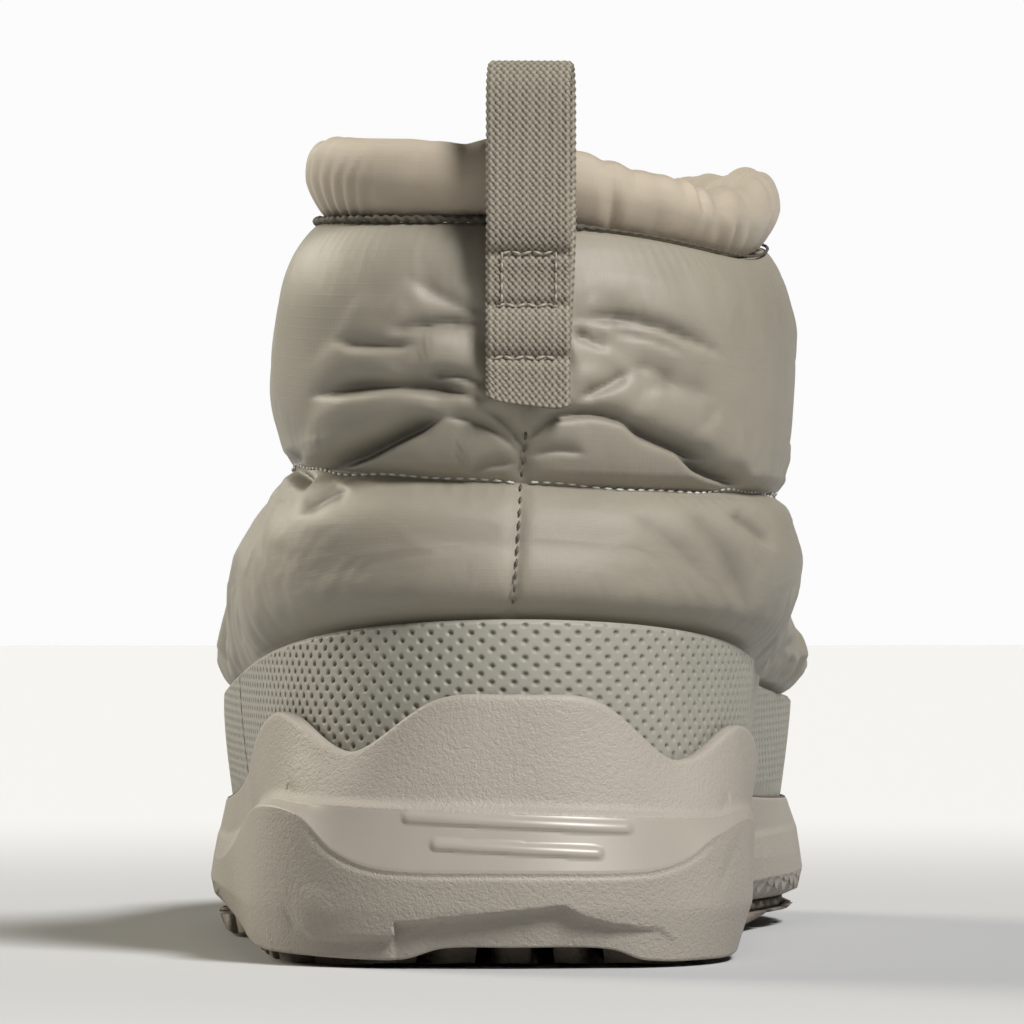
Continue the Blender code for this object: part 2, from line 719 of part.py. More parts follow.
def make_pull_loop(boot):
    """Flat webbing bent into a closed loop."""
    path = loop_path()
    count = len(path)
    corners = ((-1, -1), (1, -1), (1, 1), (-1, 1))

    def point_at(column, row):
        across, through = corners[row % len(corners)]
        index = column % count
        along = (path[(index + 1) % count] - path[index - 1]).normalized()
        out = Vector((0, -along.z, along.y))
        sideways = Vector((across * LOOP_WIDTH / 2, 0, 0))
        return path[index] + sideways + out * (through * LOOP_THICKNESS / 2)

    shape = wrapped_grid(count, len(corners), point_at)
    weld(shape)
    add_piece("pull_loop", shape, "webbing", boot)


def clear_scene():
    for old in list(bpy.data.objects):
        bpy.data.objects.remove(old)


def main():
    clear_scene()
    boot = bpy.data.objects.new("boot", None)
    bpy.context.scene.collection.objects.link(boot)
    boot.location = (-SOLE_AXIS_SHIFT, -SOLE_LENGTH / 2, 0.0)
    make_outsole(boot)
    make_midsole(boot)
    make_insole(boot)
    make_upper(boot)
    make_overlays(boot)
    make_cuff(boot)
    make_pull_loop(boot)


main()
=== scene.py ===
"""Looks of a quilted slip-on winter boot, left foot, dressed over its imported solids.

Sizes are in metres. The boot's own places run from the heel's back (y = 0) to the toe tip, across from
the outer side (-X) to the inner side (+X) and up from the floor, and FRAME_SHIFT carries them to the
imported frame. A turn goes round the boot: 0 at the heel's back, 0.25 on the outer side, 0.5 at the toe
and 0.75 on the inner side. A level goes up the upper, one step from each seam to the next.
"""

import math
from collections import namedtuple

import bmesh
import bpy
import numpy as np
from mathutils import Matrix, Vector

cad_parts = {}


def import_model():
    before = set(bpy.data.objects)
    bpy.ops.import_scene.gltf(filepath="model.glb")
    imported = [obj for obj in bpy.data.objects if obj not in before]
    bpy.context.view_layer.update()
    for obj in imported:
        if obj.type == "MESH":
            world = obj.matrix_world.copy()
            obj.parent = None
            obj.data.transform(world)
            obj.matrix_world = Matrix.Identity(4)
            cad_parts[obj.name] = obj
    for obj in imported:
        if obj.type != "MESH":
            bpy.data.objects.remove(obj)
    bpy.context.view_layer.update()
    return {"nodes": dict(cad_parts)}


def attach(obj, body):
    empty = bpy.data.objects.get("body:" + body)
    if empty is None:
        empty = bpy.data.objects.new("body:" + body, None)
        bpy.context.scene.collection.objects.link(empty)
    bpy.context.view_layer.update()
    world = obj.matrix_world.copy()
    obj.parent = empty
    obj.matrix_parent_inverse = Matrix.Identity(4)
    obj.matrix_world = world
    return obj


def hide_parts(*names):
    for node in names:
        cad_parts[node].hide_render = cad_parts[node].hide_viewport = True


MM = 0.001
FRAME_SHIFT = np.array((-0.0050, -0.1510, 0.0))
FIT_GAP = 0.0003

# Sole
SOLE_LENGTH = 0.302
OUTER_FLARE_END = 0.68
INNER_FLARE = (0.42, 0.74)
LUG_DEPTH = 0.0038
TREAD_TOP = 0.0058
TOE_SPRING = 0.011
TOE_SPRING_START = 0.205
HEEL_BEVEL = 0.0042
HEEL_BEVEL_END = 0.026
ARCH_LIFT = 0.0018
ARCH_START, ARCH_TOP, ARCH_END = 0.085, 0.120, 0.155
UNDER_INSET = 0.0025
CUP_RIM, CUP_RIM_FRONT = 0.0030, 0.0010
RIM_THIN_START, RIM_THIN_END = 0.14, 0.34
SCOOP_STEP = 0.0013

# Upper, overlays, cuff and loop
WALL_FOOT, WALL_COLLAR = 0.0034, 0.0050
OVERLAY, OVERLAY_THIN = 0.0018, 0.0010
OVERLAY_TOP_LEVEL = 0.97
COUNTER_OUTER_END, COUNTER_INNER_END = 0.203, 0.844
RAND_STEP_TURN = 0.797
COLLAR_DIP = 0.0065
COLLAR_DIP_TURN, COLLAR_DIP_REACH = 0.818, 0.115
SEAM_LEAN = 0.055
SPLIT_SEAM_START, SPLIT_SEAM_FULL = 0.45, 0.75
CUFF_HALF_WIDTH = 0.0047
LOOP_WIDTH = 0.0153
LOOP_CENTRE = 0.0018
LOOP_THICKNESS = 0.0016
LOOP_BOTTOM, LOOP_SPLIT, LOOP_OPEN, LOOP_TOP = 0.1020, 0.1265, 0.1420, 0.1648
LOOP_LAYER_GAP = 0.0005
LOOP_EYE = 0.0066

SECTION_COLUMNS = (
    "back front heel_out heel_in ball_out ball_in swing flare heel_power toe_power z_back z_side z_front"
)
Section = namedtuple("Section", SECTION_COLUMNS)

UPPER_SECTIONS = (
    # feather edge
    Section(.0110, .2900, .0440, .0405, .0545, .0532, .008, .16, 6.0, 3.2, .0245, .0190, .0190),
    # top of the counter and rand
    Section(.0120, .2900, .0462, .0464, .0570, .0566, .008, .10, 4.0, 3.0, .0640, .0500, .0440),
    # toe seam
    Section(.0155, .2640, .0462, .0484, .0504, .0528, .009, .14, 4.2, 2.5, .0765, .0670, .0600),
    # main seam
    Section(.0170, .2080, .0425, .0480, .0450, .0470, .010, .30, 3.6, 2.2, .0880, .0890, .0840),
    # instep seam
    Section(.0175, .1620, .0412, .0434, .0415, .0416, .011, .30, 3.2, 2.2, .1040, .1080, .1095),
    # collar seam
    Section(.0180, .1250, .0398, .0432, .0388, .0418, .012, .30, 2.8, 2.2, .1355, .1365, .1335),
)
FEATHER, RAND_TOP, TOE_SEAM, MAIN_SEAM, INSTEP_SEAM, COLLAR_SEAM = range(len(UPPER_SECTIONS))

Channel = namedtuple("Channel", "low high depth_heel depth_front low_fullness high_fullness")
CHANNELS = (
    Channel(RAND_TOP, MAIN_SEAM, 0.0072, 0.0060, 5.0, 3.0),
    Channel(MAIN_SEAM, COLLAR_SEAM, 0.0072, 0.0066, 3.6, 3.6),
)

CUP_SECTIONS = (
    # lower edge
    Section(.0036, .2960, .0498, .0428, .0612, .0604, .008, .14, 8.0, 3.2, .0108, .0105, .0130),
    # widest line
    Section(.0012, .3020, .0506, .0454, .0620, .0616, .008, .14, 8.0, 3.2, .0108, .0105, .0130),
    # lower edge of the smooth band
    Section(.0000, .3016, .0504, .0458, .0614, .0610, .008, .14, 8.0, 3.2, .0108, .0105, .0130),
    # ledge over the smooth band
    Section(.0030, .2995, .0486, .0456, .0606, .0602, .008, .14, 8.0, 3.2, .0108, .0105, .0130),
    # foot of the scoop over the ledge
    Section(.0048, .2985, .0478, .0451, .0601, .0597, .008, .14, 8.0, 3.2, .0108, .0105, .0130),
)
LOWER_EDGE, WIDEST_LINE, BAND_EDGE, LEDGE, SCOOP_FOOT = range(len(CUP_SECTIONS))

EdgeRow = namedtuple("EdgeRow", "turn outer inner")
CUP_TOP_EDGE = (
    EdgeRow(0.000, 0.0478, 0.0478),
    EdgeRow(0.030, 0.0468, 0.0466),
    EdgeRow(0.064, 0.0378, 0.0366),
    EdgeRow(0.112, 0.0441, 0.0420),
    EdgeRow(0.165, 0.0345, 0.0335),
    EdgeRow(0.260, 0.0270, 0.0270),
    EdgeRow(0.380, 0.0260, 0.0260),
    EdgeRow(0.500, 0.0310, 0.0310),
)
CUP_LOWER_EDGE = (
    EdgeRow(0.000, 0.0036, 0.0036),
    EdgeRow(0.022, 0.0034, 0.0036),
    EdgeRow(0.034, 0.0013, 0.0030),
    EdgeRow(0.046, 0.0011, 0.0010),
    EdgeRow(0.075, 0.0016, 0.0006),
    EdgeRow(0.120, 0.0024, 0.0010),
    EdgeRow(0.180, 0.0050, 0.0054),
    EdgeRow(0.260, 0.0074, 0.0076),
    EdgeRow(0.380, 0.0054, 0.0058),
    EdgeRow(0.500, 0.0062, 0.0062),
)
BAND_LOWER_EDGE = (
    EdgeRow(0.000, 0.0174, 0.0174),
    EdgeRow(0.042, 0.0180, 0.0176),
    EdgeRow(0.060, 0.0212, 0.0196),
    EdgeRow(0.078, 0.0278, 0.0238),
    EdgeRow(0.110, 0.0288, 0.0264),
    EdgeRow(0.160, 0.0240, 0.0234),
    EdgeRow(0.250, 0.0150, 0.0150),
    EdgeRow(0.500, 0.0180, 0.0180),
)
LEDGE_EDGE = (
    EdgeRow(0.000, 0.0285, 0.0285),
    EdgeRow(0.050, 0.0293, 0.0274),
    EdgeRow(0.078, 0.0297, 0.0270),
    EdgeRow(0.110, 0.0302, 0.0280),
    EdgeRow(0.160, 0.0254, 0.0248),
    EdgeRow(0.250, 0.0190, 0.0190),
    EdgeRow(0.500, 0.0240, 0.0240),
)
CUP_EDGES = {
    LOWER_EDGE: CUP_LOWER_EDGE,
    BAND_EDGE: BAND_LOWER_EDGE,
    LEDGE: LEDGE_EDGE,
    SCOOP_FOOT: LEDGE_EDGE,
}
CUFF_HEIGHT = (
    EdgeRow(0.000, 0.0146, 0.0146),
    EdgeRow(0.050, 0.0150, 0.0134),
    EdgeRow(0.090, 0.0150, 0.0126),
    EdgeRow(0.135, 0.0151, 0.0117),
    EdgeRow(0.195, 0.0152, 0.0142),
    EdgeRow(0.260, 0.0150, 0.0150),
    EdgeRow(0.350, 0.0140, 0.0140),
    EdgeRow(0.500, 0.0135, 0.0135),
)

# Raised ribs on the smooth band, in millimetres: their two ends (x, z), half width and rise.
Rib = namedtuple("Rib", "from_x from_z to_x to_z half_width rise")
RIBS = (Rib(-20.0, 27.6, 19.6, 25.6, 1.1, 0.7), Rib(-15.0, 22.7, 14.2, 21.2, 1.05, 0.7))

# Lower edge of the heel's back block, in millimetres: x, z and how far the foam under it lies back.
StepEdge = namedtuple("StepEdge", "x z depth")
HEEL_STEP = (
    StepEdge(-47.0, 20.0, 0.0),
    StepEdge(-43.7, 16.6, 0.4),
    StepEdge(-40.9, 8.7, 1.0),
    StepEdge(-37.2, 5.4, 1.2),
    StepEdge(-22.6, 6.0, 1.4),
    StepEdge(-22.3, 8.4, 2.2),
    StepEdge(8.0, 11.7, 2.2),
    StepEdge(11.1, 9.9, 2.0),
    StepEdge(16.7, 8.3, 1.4),
    StepEdge(26.1, 7.1, 0.5),
    StepEdge(30.0, 4.0, 0.0),
)

# Creases of the padded back, in millimetres: each runs from one place (x, z) by a second to a third.
# It is a trough of the given half width and depth that slopes down from a raised lip above it (or below,
# if the lip is minus) and has a steep far side.
Crease = namedtuple("Crease", "from_x from_z by_x by_z to_x to_z half_width depth lip")
CREASES = (
    # left of the loop
    Crease(-38.8, 103.9, -22.0, 105.8, -4.8, 103.0, 1.3, 2.2, 0.7),
    Crease(-17.0, 106.8, -12.2, 107.8, -5.6, 105.8, 0.9, 1.2, 0.6),
    Crease(-34.0, 114.4, -26.0, 113.2, -16.6, 113.4, 1.1, 1.3, 0.3),
    Crease(-25.0, 115.4, -16.0, 116.8, -5.2, 117.4, 1.0, 1.3, 0.4),
    Crease(-21.0, 126.0, -13.0, 121.6, -5.2, 118.8, 1.6, 0.9, 0.3),
    Crease(-12.6, 100.6, -24.0, 95.4, -38.4, 88.2, 1.5, 2.9, 1.0),
    Crease(-41.6, 95.0, -39.6, 91.0, -38.0, 86.8, 1.2, 2.4, 0.3),
    # drawn in to the foot of the back seam
    Crease(-6.8, 102.2, -1.6, 98.6, 1.2, 94.2, 0.9, 0.9, 0.5),
    Crease(-15.0, 99.9, -6.0, 98.6, 0.9, 92.8, 0.9, 0.8, 0.5),
    Crease(-8.6, 89.0, -5.0, 91.2, 0.4, 91.6, 0.8, 0.6, 0.4),
    Crease(1.8, 95.2, 5.2, 99.4, 11.0, 101.6, 0.9, 0.9, 0.5),
    Crease(1.6, 92.6, 7.0, 94.0, 13.0, 93.2, 0.9, 0.6, 0.4),
    # right of the loop
    Crease(8.6, 117.4, 23.5, 117.2, 40.0, 110.4, 1.2, 1.7, 0.6),
    Crease(16.0, 115.6, 24.0, 114.4, 32.0, 111.2, 0.8, 0.7, 0.4),
    Crease(9.8, 115.4, 13.0, 114.2, 17.4, 112.0, 0.9, 1.1, 0.6),
    Crease(10.0, 103.2, 16.0, 105.6, 21.6, 109.0, 1.2, 1.4, 0.8),
    Crease(20.0, 109.2, 26.0, 108.6, 30.0, 104.6, 1.4, 0.7, 0.2),
    Crease(5.0, 98.4, 14.0, 100.8, 24.4, 97.2, 1.0, 1.5, 0.9),
    Crease(18.6, 99.4, 27.4, 95.6, 37.0, 92.4, 1.2, 2.3, 0.8),
    Crease(29.0, 94.0, 36.4, 90.0, 44.0, 88.0, 1.3, 2.6, 0.9),
    Crease(24.0, 104.6, 31.0, 106.0, 38.0, 103.4, 2.2, 0.6, 0.4),
    # under the main seam
    Crease(19.6, 83.4, 29.0, 77.0, 37.0, 68.4, 2.0, 0.5, 0.3),
    Crease(30.0, 83.4, 39.0, 76.0, 45.0, 62.0, 2.6, 0.9, 0.6),
    Crease(38.6, 82.6, 45.0, 80.0, 50.0, 75.4, 1.5, 1.4, 0.7),
    Crease(-30.0, 86.8, -35.0, 85.4, -40.4, 82.0, 1.4, 1.0, 0.6),
)

# Lines pressed into the foam at the heel's two corners, laid out as the creases are.
FOAM_LINES = (
    Crease(-44.2, 38.4, -42.6, 33.6, -38.8, 28.6, 0.8, 0.6, 0.3),
    Crease(-42.0, 14.6, -41.0, 10.0, -40.4, 6.0, 0.9, 0.5, 0.3),
    Crease(42.6, 38.4, 40.4, 32.4, 37.0, 26.6, 0.9, 0.6, -0.3),
    Crease(41.6, 24.0, 39.4, 18.8, 36.4, 13.0, 0.9, 0.5, -0.3),
)

# Gathers of the cuff, in millimetres from the back seam, plus towards the outer side: place, half width,
# depth at the lower edge, depth at the top, and how far the gather slants over its height.
Gather = namedtuple("Gather", "place half_width low_depth top_depth slant")
CUFF_GATHERS = (
    Gather(8.5, 2.4, 0.2, 0.35, 1.0),
    Gather(18.0, 2.0, 0.3, 0.15, -1.5),
    Gather(27.5, 0.9, 0.8, 0.0, -3.5),
    Gather(31.0, 0.8, 1.0, 0.0, -4.0),
    Gather(34.6, 0.9, 1.1, 0.0, -4.2),
    Gather(38.6, 1.0, 1.1, 0.0, -4.2),
    Gather(43.5, 1.2, 1.0, 0.1, -3.5),
    Gather(50.0, 1.4, 0.8, 0.2, -2.5),
    Gather(57.0, 1.3, 0.7, 0.3, 1.0),
    Gather(-10.5, 1.8, 0.5, 0.5, 1.0),
    Gather(-18.0, 1.2, 2.0, 0.3, 1.0),
    Gather(-22.0, 1.6, 0.3, 0.5, -1.0),
    Gather(-27.5, 1.9, 1.5, 0.2, 0.6),
    Gather(-33.5, 1.5, 0.5, 0.5, -0.6),
    Gather(-38.0, 1.1, 0.6, 1.7, 0.5),
    Gather(-43.0, 1.5, 0.9, 0.3, 4.0),
    Gather(-48.5, 1.6, 1.3, 0.1, 6.0),
    Gather(-56.0, 1.8, 0.8, 0.2, 4.0),
)

# How far round from the back seam, in millimetres, creases and gathers are listed one by one
CREASES_BY_HAND, GATHERS_BY_HAND = 84.0, 62.0

# Grid of the upper: the levels of its flat foot, then the rows of the padding and of the lining
SHELL_COLUMNS, SHELL_ROWS, LINING_ROWS = 520, 160, 21
FOOT_LEVELS = (0.0, 0.5, 0.85)

# Cloth of the padding: its slack before it billows, its simulation, and how much of the billowing is kept
# at the back and on the sides, with the stretch along the boot between them
CLOTH_SLACK = 0.25
CLOTH_EXCESS = 0.018
CLOTH_PRESSURE = 9.0
CLOTH_FRAMES = 20
CLOTH_CAP = 0.005
BACK_CALM, SIDE_CALM = 0.2, 0.7
CALM_RUN = (0.050, 0.110)
CLOTH_SETTINGS = {
    "vertex_group_mass": "sewn",
    "quality": 8,
    "mass": 0.1,
    "tension_stiffness": 30.0,
    "compression_stiffness": 30.0,
    "shear_stiffness": 8.0,
    "bending_stiffness": 0.8,
    "shrink_min": -CLOTH_EXCESS,
    "use_pressure": True,
    "uniform_pressure_force": CLOTH_PRESSURE,
}

# Folds of the back: their strength, the depth in millimetres at which their painted shade is darkest, the
# stretch along the boot where they end, and the squarer padding beside the back seam, over the main seam.
FOLD_DEPTH, DEEP_FOLD = 1.35, 2.0
FOLD_END = (0.070, 0.100)
SQUARE_BACK, PADDING_PEAK = 0.6, 0.0072
SQUARE_LEVELS, SQUARE_END = (3.6, 4.3), (0.030, 0.065)
SQUARE_FROM_SEAM = 6.0
SEWN_FLAT = 0.0025

# Section of a crease in half widths: reach of its sloping and its steep side, and place and end of its lip.
CREASE_REACH = 10
SLOPE_SIDE, STEEP_SIDE = 1.9, 0.85
LIP_PLACE, LIP_END = 3.4, (6.0, 10.0)

# Back seam, from its foot to its top
BACK_SEAM_DEPTH, BACK_SEAM_HALF = 0.0011, 1.5
BACK_SEAM_FOOT, BACK_SEAM_RISE = 0.064, 0.037
BACK_SEAM_X = (-0.0011, 0.0018)
BACK_SEAM_LEVEL = 4.3

# Grids of the other pieces
COUNTER_COLUMNS, COUNTER_ROWS = 880, 90
RAND_COLUMNS, RAND_ROWS = 760, 56
CUP_COLUMNS = 640
CUFF_COLUMNS, CUFF_ROWS = 900, 44
BINDING_COLUMNS, BINDING_ROWS = 1000, 10
LOOP_STEPS, LOOP_COLUMNS = 640, 71

# Cuff and binding
CUFF_LEAN = 0.0010
CUFF_NARROW_FOOT = 0.25
BINDING_RADIUS, BINDING_THIN = 0.00064, 0.00024
BINDING_TWIST = 2.2

# Small relief. A level counts as LEVEL_HEIGHT millimetres where a pattern runs up the padding.
COLUMN_PULL = 0.6
LEVEL_HEIGHT = 20.0
HEEL_BACK_END = 0.03
FOREFOOT_START, FOREFOOT_END = (0.125, 0.150), (0.270, 0.290)
NOTCH_PITCH, NOTCH_LIFT = 7.0, 0.0022
BAND_GROOVE = ((-2, 0.0002), (-1, 0.0005), (0, 0.0002))
DIMPLE_LEVEL, DIMPLE_PITCH, DIMPLE_ROW = 0.8, 0.00375, 0.00148
DIMPLE_RADIUS, DIMPLE_DEPTH = 0.00066, 0.0006
WEAVE_COLUMN, WEAVE_ROW, WEAVE_DEPTH = 0.00120, 0.00070, 0.00046
LOOP_SKEW = 0.0013
LOOP_PRESS, LOOP_DIP = 0.0009, 0.0009
LOOP_BULGE, LOOP_BULGE_HEIGHT = 0.0009, 0.1152
TREAD_INSET = 0.0031
TREAD_ROWS, TREAD_COLUMNS = 15, 5
TREAD_BACK, TREAD_FRONT = 0.012, 0.292
TREAD_CHEVRON = 0.009
EDGE_LUG_START = 0.80
EDGE_ROLL = 0.0032
EDGE_ROLL_BAND, EDGE_ROLL_RUN = (0.62, 0.95), (0.140, 0.180)
GROOVE_HALF, LUG_TAPER, LUG_REACH = 0.0020, 0.0009, 0.0026
SIPE_INSET, SIPE_DEPTH, LUG_BEVEL = 0.0026, 0.0006, 0.0004

# Stitches: their length, width and spacing
Stitch = namedtuple("Stitch", "length width pitch")
SEAM_STITCH = Stitch(0.0019, 0.00058, 0.0023)
BACK_STITCH = Stitch(0.0019, 0.0006, 0.0023)
CUP_STITCH = Stitch(0.0026, 0.0007, 0.0034)
BAR_STITCH = Stitch(0.0021, 0.00062, 0.0019)
EDGE_STITCH = Stitch(0.0019, 0.00055, 0.0019)
SeamRow = namedtuple("SeamRow", "name level first last")
SEAM_ROWS = (
    SeamRow("main_seam_stitches", MAIN_SEAM, 0.0, 1.0),
    SeamRow("toe_seam_stitches", TOE_SEAM, 0.385, 0.615),
    SeamRow("instep_seam_stitches", INSTEP_SEAM, 0.385, 0.615),
)
BACK_STITCH_HEIGHTS = (0.0655, 0.1015)
Bar = namedtuple("Bar", "z left right")
LOOP_BARS = (Bar(0.1297, -0.0032, 0.0072), Bar(0.1202, -0.0042, 0.0080), Bar(0.1107, -0.0046, 0.0082))
LOOP_EDGE_STITCHES = (("left", -0.0030), ("right", 0.0068))
LOOP_EDGE_HEIGHTS = (0.1205, 0.1300)
BACKWARD, UPWARD = (0.0, -1.0, 0.0), (0.0, 0.0, 1.0)

# Finishes. A cloth's threads are spaced in millimetres, and every relief is in metres.
Cloth = namedtuple("Cloth", "name colour roughness thread ripstop relief")
CLOTHS = (
    Cloth("nylon", (0.265, 0.238, 0.186), 0.50, 0.5, 2.1, 0.00002),
    Cloth("lining", (0.25, 0.225, 0.18), 0.8, 0.8, 4.0, 0.0001),
    Cloth("cuff_nylon", (0.425, 0.358, 0.272), 0.55, 0.4, 2.0, 0.00005),
    Cloth("webbing", (0.330, 0.292, 0.224), 0.75, 0.24, 3.0, 0.00004),
    Cloth("pale_thread", (0.55, 0.53, 0.49), 0.6, 0.3, 3.0, 0.00003),
    Cloth("dark_thread", (0.09, 0.08, 0.06), 0.6, 0.3, 3.0, 0.00003),
    Cloth("webbing_thread", (0.32, 0.29, 0.235), 0.6, 0.3, 3.0, 0.00003),
    Cloth("binding", (0.070, 0.062, 0.045), 0.7, 0.3, 3.0, 0.00003),
)
Grain = namedtuple("Grain", "name colour roughness scale relief")
GRAINS = (
    Grain("moulded_film", (0.285, 0.270, 0.225), 0.5, 2600.0, 0.00008),
    Grain("tread_rubber", (0.156, 0.127, 0.098), 0.65, 1400.0, 0.0002),
    Grain("insole_cloth", (0.30, 0.27, 0.22), 0.9, 1800.0, 0.0002),
    Grain("pebbled_foam", (0.330, 0.296, 0.250), 0.55, 1350.0, 0.00022),
)
CLOTH_MOTTLE, GRAIN_MOTTLE, MOTTLE_SCALE = 0.25, 0.2, 60.0
SHEEN = {"nylon": ("Specular IOR Level", 0.6), "cuff_nylon": ("Sheen Weight", 0.1)}
# Painted shade: how much darker each material's colour gets where its mesh is marked, in dimples, folds and
# thread gaps
PAINTED_SHADE_AMOUNTS = {"webbing": 0.94, "moulded_film": 0.45, "nylon": 0.55}
FOAM_ROUGH, FOAM_SMOOTH = 0.58, 0.36

# Studio
BACKDROP_GLOW, LEFT_GLOW, RIGHT_GLOW = 0.97, 0.06, 0.02
# Floor colour: a painted shadow near the boot, fading out to the paler far floor
FLOOR_SHADOW_TONE, FLOOR_FAR = 0.46, 0.69
FLOOR_SHADOW_FADE = (0.15, 0.80)
CAMERA_STAND, CAMERA_AIM = (-0.0525, -1.500, 0.073), (-0.0014, 0.0, 0.0827)
CAMERA_LENS, CAMERA_SENSOR = 293.0, 36.0
Sun = namedtuple("Sun", "name stand strength softness colour")
SUNS = (
    Sun("key_light", (0.38, -0.58, 0.72), 4.4, 0.28, (1.0, 1.0, 1.0)),
    Sun("side_light", (-0.70, 0.60, 0.40), 2.3, 0.50, (1.0, 0.94, 0.78)),
)


def blend(first, second, share):
    """From the first value at share 0 to the second at share 1."""
    return first + (second - first) * share


def ease(value, start, end):
    """Smooth step from 0 at start to 1 at end."""
    share = np.clip((value - start) / (end - start), 0.0, 1.0)
    return share * share * (3 - 2 * share)


def curve_through(places, values, place):
    """A smooth curve through the values at rising places, read at many places."""
    places, values = np.asarray(places, float), np.asarray(values, float)
    last = len(places) - 1
    before = np.maximum(np.arange(last + 1) - 1, 0)
    after = np.minimum(np.arange(last + 1) + 1, last)
    slopes = (values[after] - values[before]) / (places[after] - places[before])
    low = np.clip(np.searchsorted(places, place, side="right") - 1, 0, last - 1)
    span = places[low + 1] - places[low]
    share = (place - places[low]) / span
    rest = 1 - share
    return (
        values[low] * rest * rest * (1 + 2 * share)
        + values[low + 1] * share * share * (1 + 2 * rest)
        + slopes[low] * span * share * rest * rest
        - slopes[low + 1] * span * share * share * rest
    )


def on_outer_side(turn):
    """Whether turns lie on the little toe's side."""
    return np.mod(turn, 1.0) <= 0.5


def turn_from_heel(turn):
    """The turn folded to one side: 0 at the heel's back, 0.5 at the toe."""
    return np.minimum(np.mod(turn, 1.0), 1.0 - np.mod(turn, 1.0))


def edge_height(rows, turn):
    """Height from a table of EdgeRow."""
    turns = [row.turn for row in rows]
    outer = curve_through(turns, [row.outer for row in rows], turn_from_heel(turn))
    inner = curve_through(turns, [row.inner for row in rows], turn_from_heel(turn))
    return np.where(on_outer_side(turn), outer, inner)


def station(turn):
    """Share of the length: 0 at the heel's back, 1 at the toe."""
    return (1 - np.cos(math.tau * turn)) / 2


def half_width(section, share, outer):
    """Half width of a plan section at a share of its length."""
    heel = np.where(outer, section.heel_out, section.heel_in)
    ball = np.where(outer, section.ball_out, section.ball_in)
    flare = np.where(outer, ease(share, section.flare, OUTER_FLARE_END), ease(share, *INNER_FLARE))
    power = np.where(share < 0.5, section.heel_power, section.toe_power)
    fullness = np.sqrt(np.maximum(1 - np.abs(2 * share - 1) ** power, 0.0))
    return blend(heel, ball, flare) * fullness


def ring_points(section, turn, height=None):
    """Points of a plan section at many turns, at its own height unless one is given."""
    share = station(turn)
    outer = on_outer_side(turn)
    x = half_width(section, share, outer) * np.where(outer, -1, 1) + section.swing * ease(share, 0.0, 1.0)
    y = blend(section.back, section.front, share)
    if height is None:
        height = (
            section.z_back * (1 - share) * (1 - 2 * share)
            + section.z_side * 4 * share * (1 - share)
            + section.z_front * share * (2 * share - 1)
        )
    return np.stack(np.broadcast_arrays(x, y, height + toe_spring(y)), axis=-1)


def inset(section, distance):
    """The same plan section drawn in by a distance all round."""
    return section._replace(
        back=section.back + distance,
        front=section.front - distance,
        heel_out=section.heel_out - distance,
        heel_in=section.heel_in - distance,
        ball_out=section.ball_out - distance,
        ball_in=section.ball_in - distance,
    )


def toe_spring(y):
    """How far the sole rises off the floor towards the toe."""
    return TOE_SPRING * (np.maximum(y - TOE_SPRING_START, 0.0) / (SOLE_LENGTH - TOE_SPRING_START)) ** 2


def ground_lift(y):
    """How far the tread clears the floor: at the heel's bevel, the arch and the toe."""
    bevel = HEEL_BEVEL * (np.maximum(HEEL_BEVEL_END - y, 0.0) / HEEL_BEVEL_END) ** 2
    arch = ARCH_LIFT * ease(y, ARCH_START, ARCH_TOP) * (1 - ease(y, ARCH_TOP, ARCH_END))
    return bevel + arch + toe_spring(y)


def upper_section(level):
    """The upper's plan section at levels between the rows of its table."""
    places = range(len(UPPER_SECTIONS))
    return Section(*(curve_through(places, column, level) for column in zip(*UPPER_SECTIONS)))


def seam_surface(level, turn):
    """The upper's surface through its seams, before the padding swells."""
    points = ring_points(upper_section(level), turn)
    away = (np.mod(turn, 1.0) - COLLAR_DIP_TURN) / COLLAR_DIP_REACH
    dip = COLLAR_DIP * np.exp(-away * away) * ease(level, MAIN_SEAM, COLLAR_SEAM)
    nearness = ease(level, RAND_TOP, MAIN_SEAM) * (1 - ease(level, MAIN_SEAM, COLLAR_SEAM))
    points[..., 2] -= dip + SEAM_LEAN * points[..., 0] * nearness
    return points


def unit(vectors):
    """The same directions at length 1."""
    return vectors / np.linalg.norm(vectors, axis=-1, keepdims=True)


def seam_normal(level, turn):
    """Outward directions of the seam surface."""
    step = 0.004
    along = seam_surface(level, turn + step) - seam_surface(level, turn - step)
    low, high = np.maximum(level - step, 0.0), np.minimum(level + step, COLLAR_SEAM)
    up = seam_surface(high, turn) - seam_surface(low, turn)
    return unit(np.cross(up, along))


def swell(share, channel):
    """Cross section of one padded channel: 0 at its seams and 1 at its crown."""
    fullness = np.where(share < 0.5, channel.low_fullness, channel.high_fullness)
    return 1 - np.abs(2 * share - 1) ** fullness


def split_strength(turn):
    """How far the extra seams across the front are sewn down."""
    return ease(station(turn), SPLIT_SEAM_START, SPLIT_SEAM_FULL)


def padding(level, turn):
    """How far the padding stands out of the seam surface."""
    total = np.zeros(np.broadcast(level, turn).shape)
    for channel in CHANNELS:
        ends = (channel.low, level, channel.high)
        low, here, high = (seam_surface(at + 0 * level, turn)[..., 2] for at in ends)
        depth = blend(channel.depth_heel, channel.depth_front, station(turn))
        whole = swell(np.clip((here - low) / (high - low), 0.0, 1.0), channel)
        halved = swell(np.mod(level, 1.0), channel)
        inside = (level >= channel.low) & (level <= channel.high)
        total = np.where(inside, depth * blend(whole, halved, split_strength(turn)), total)
    return total


def upper_skin(level, turn, stand_off=0.0):
    """Outer face of the upper, or a face that stands off it."""
    out = padding(level, turn) + stand_off
    return seam_surface(level, turn) + seam_normal(level, turn) * out[..., None]


def upper_lining(level, turn):
    """Inner face of the upper."""
    wall = blend(WALL_FOOT, WALL_COLLAR, level / COLLAR_SEAM)
    return seam_surface(level, turn) - seam_normal(level, turn) * wall[..., None]


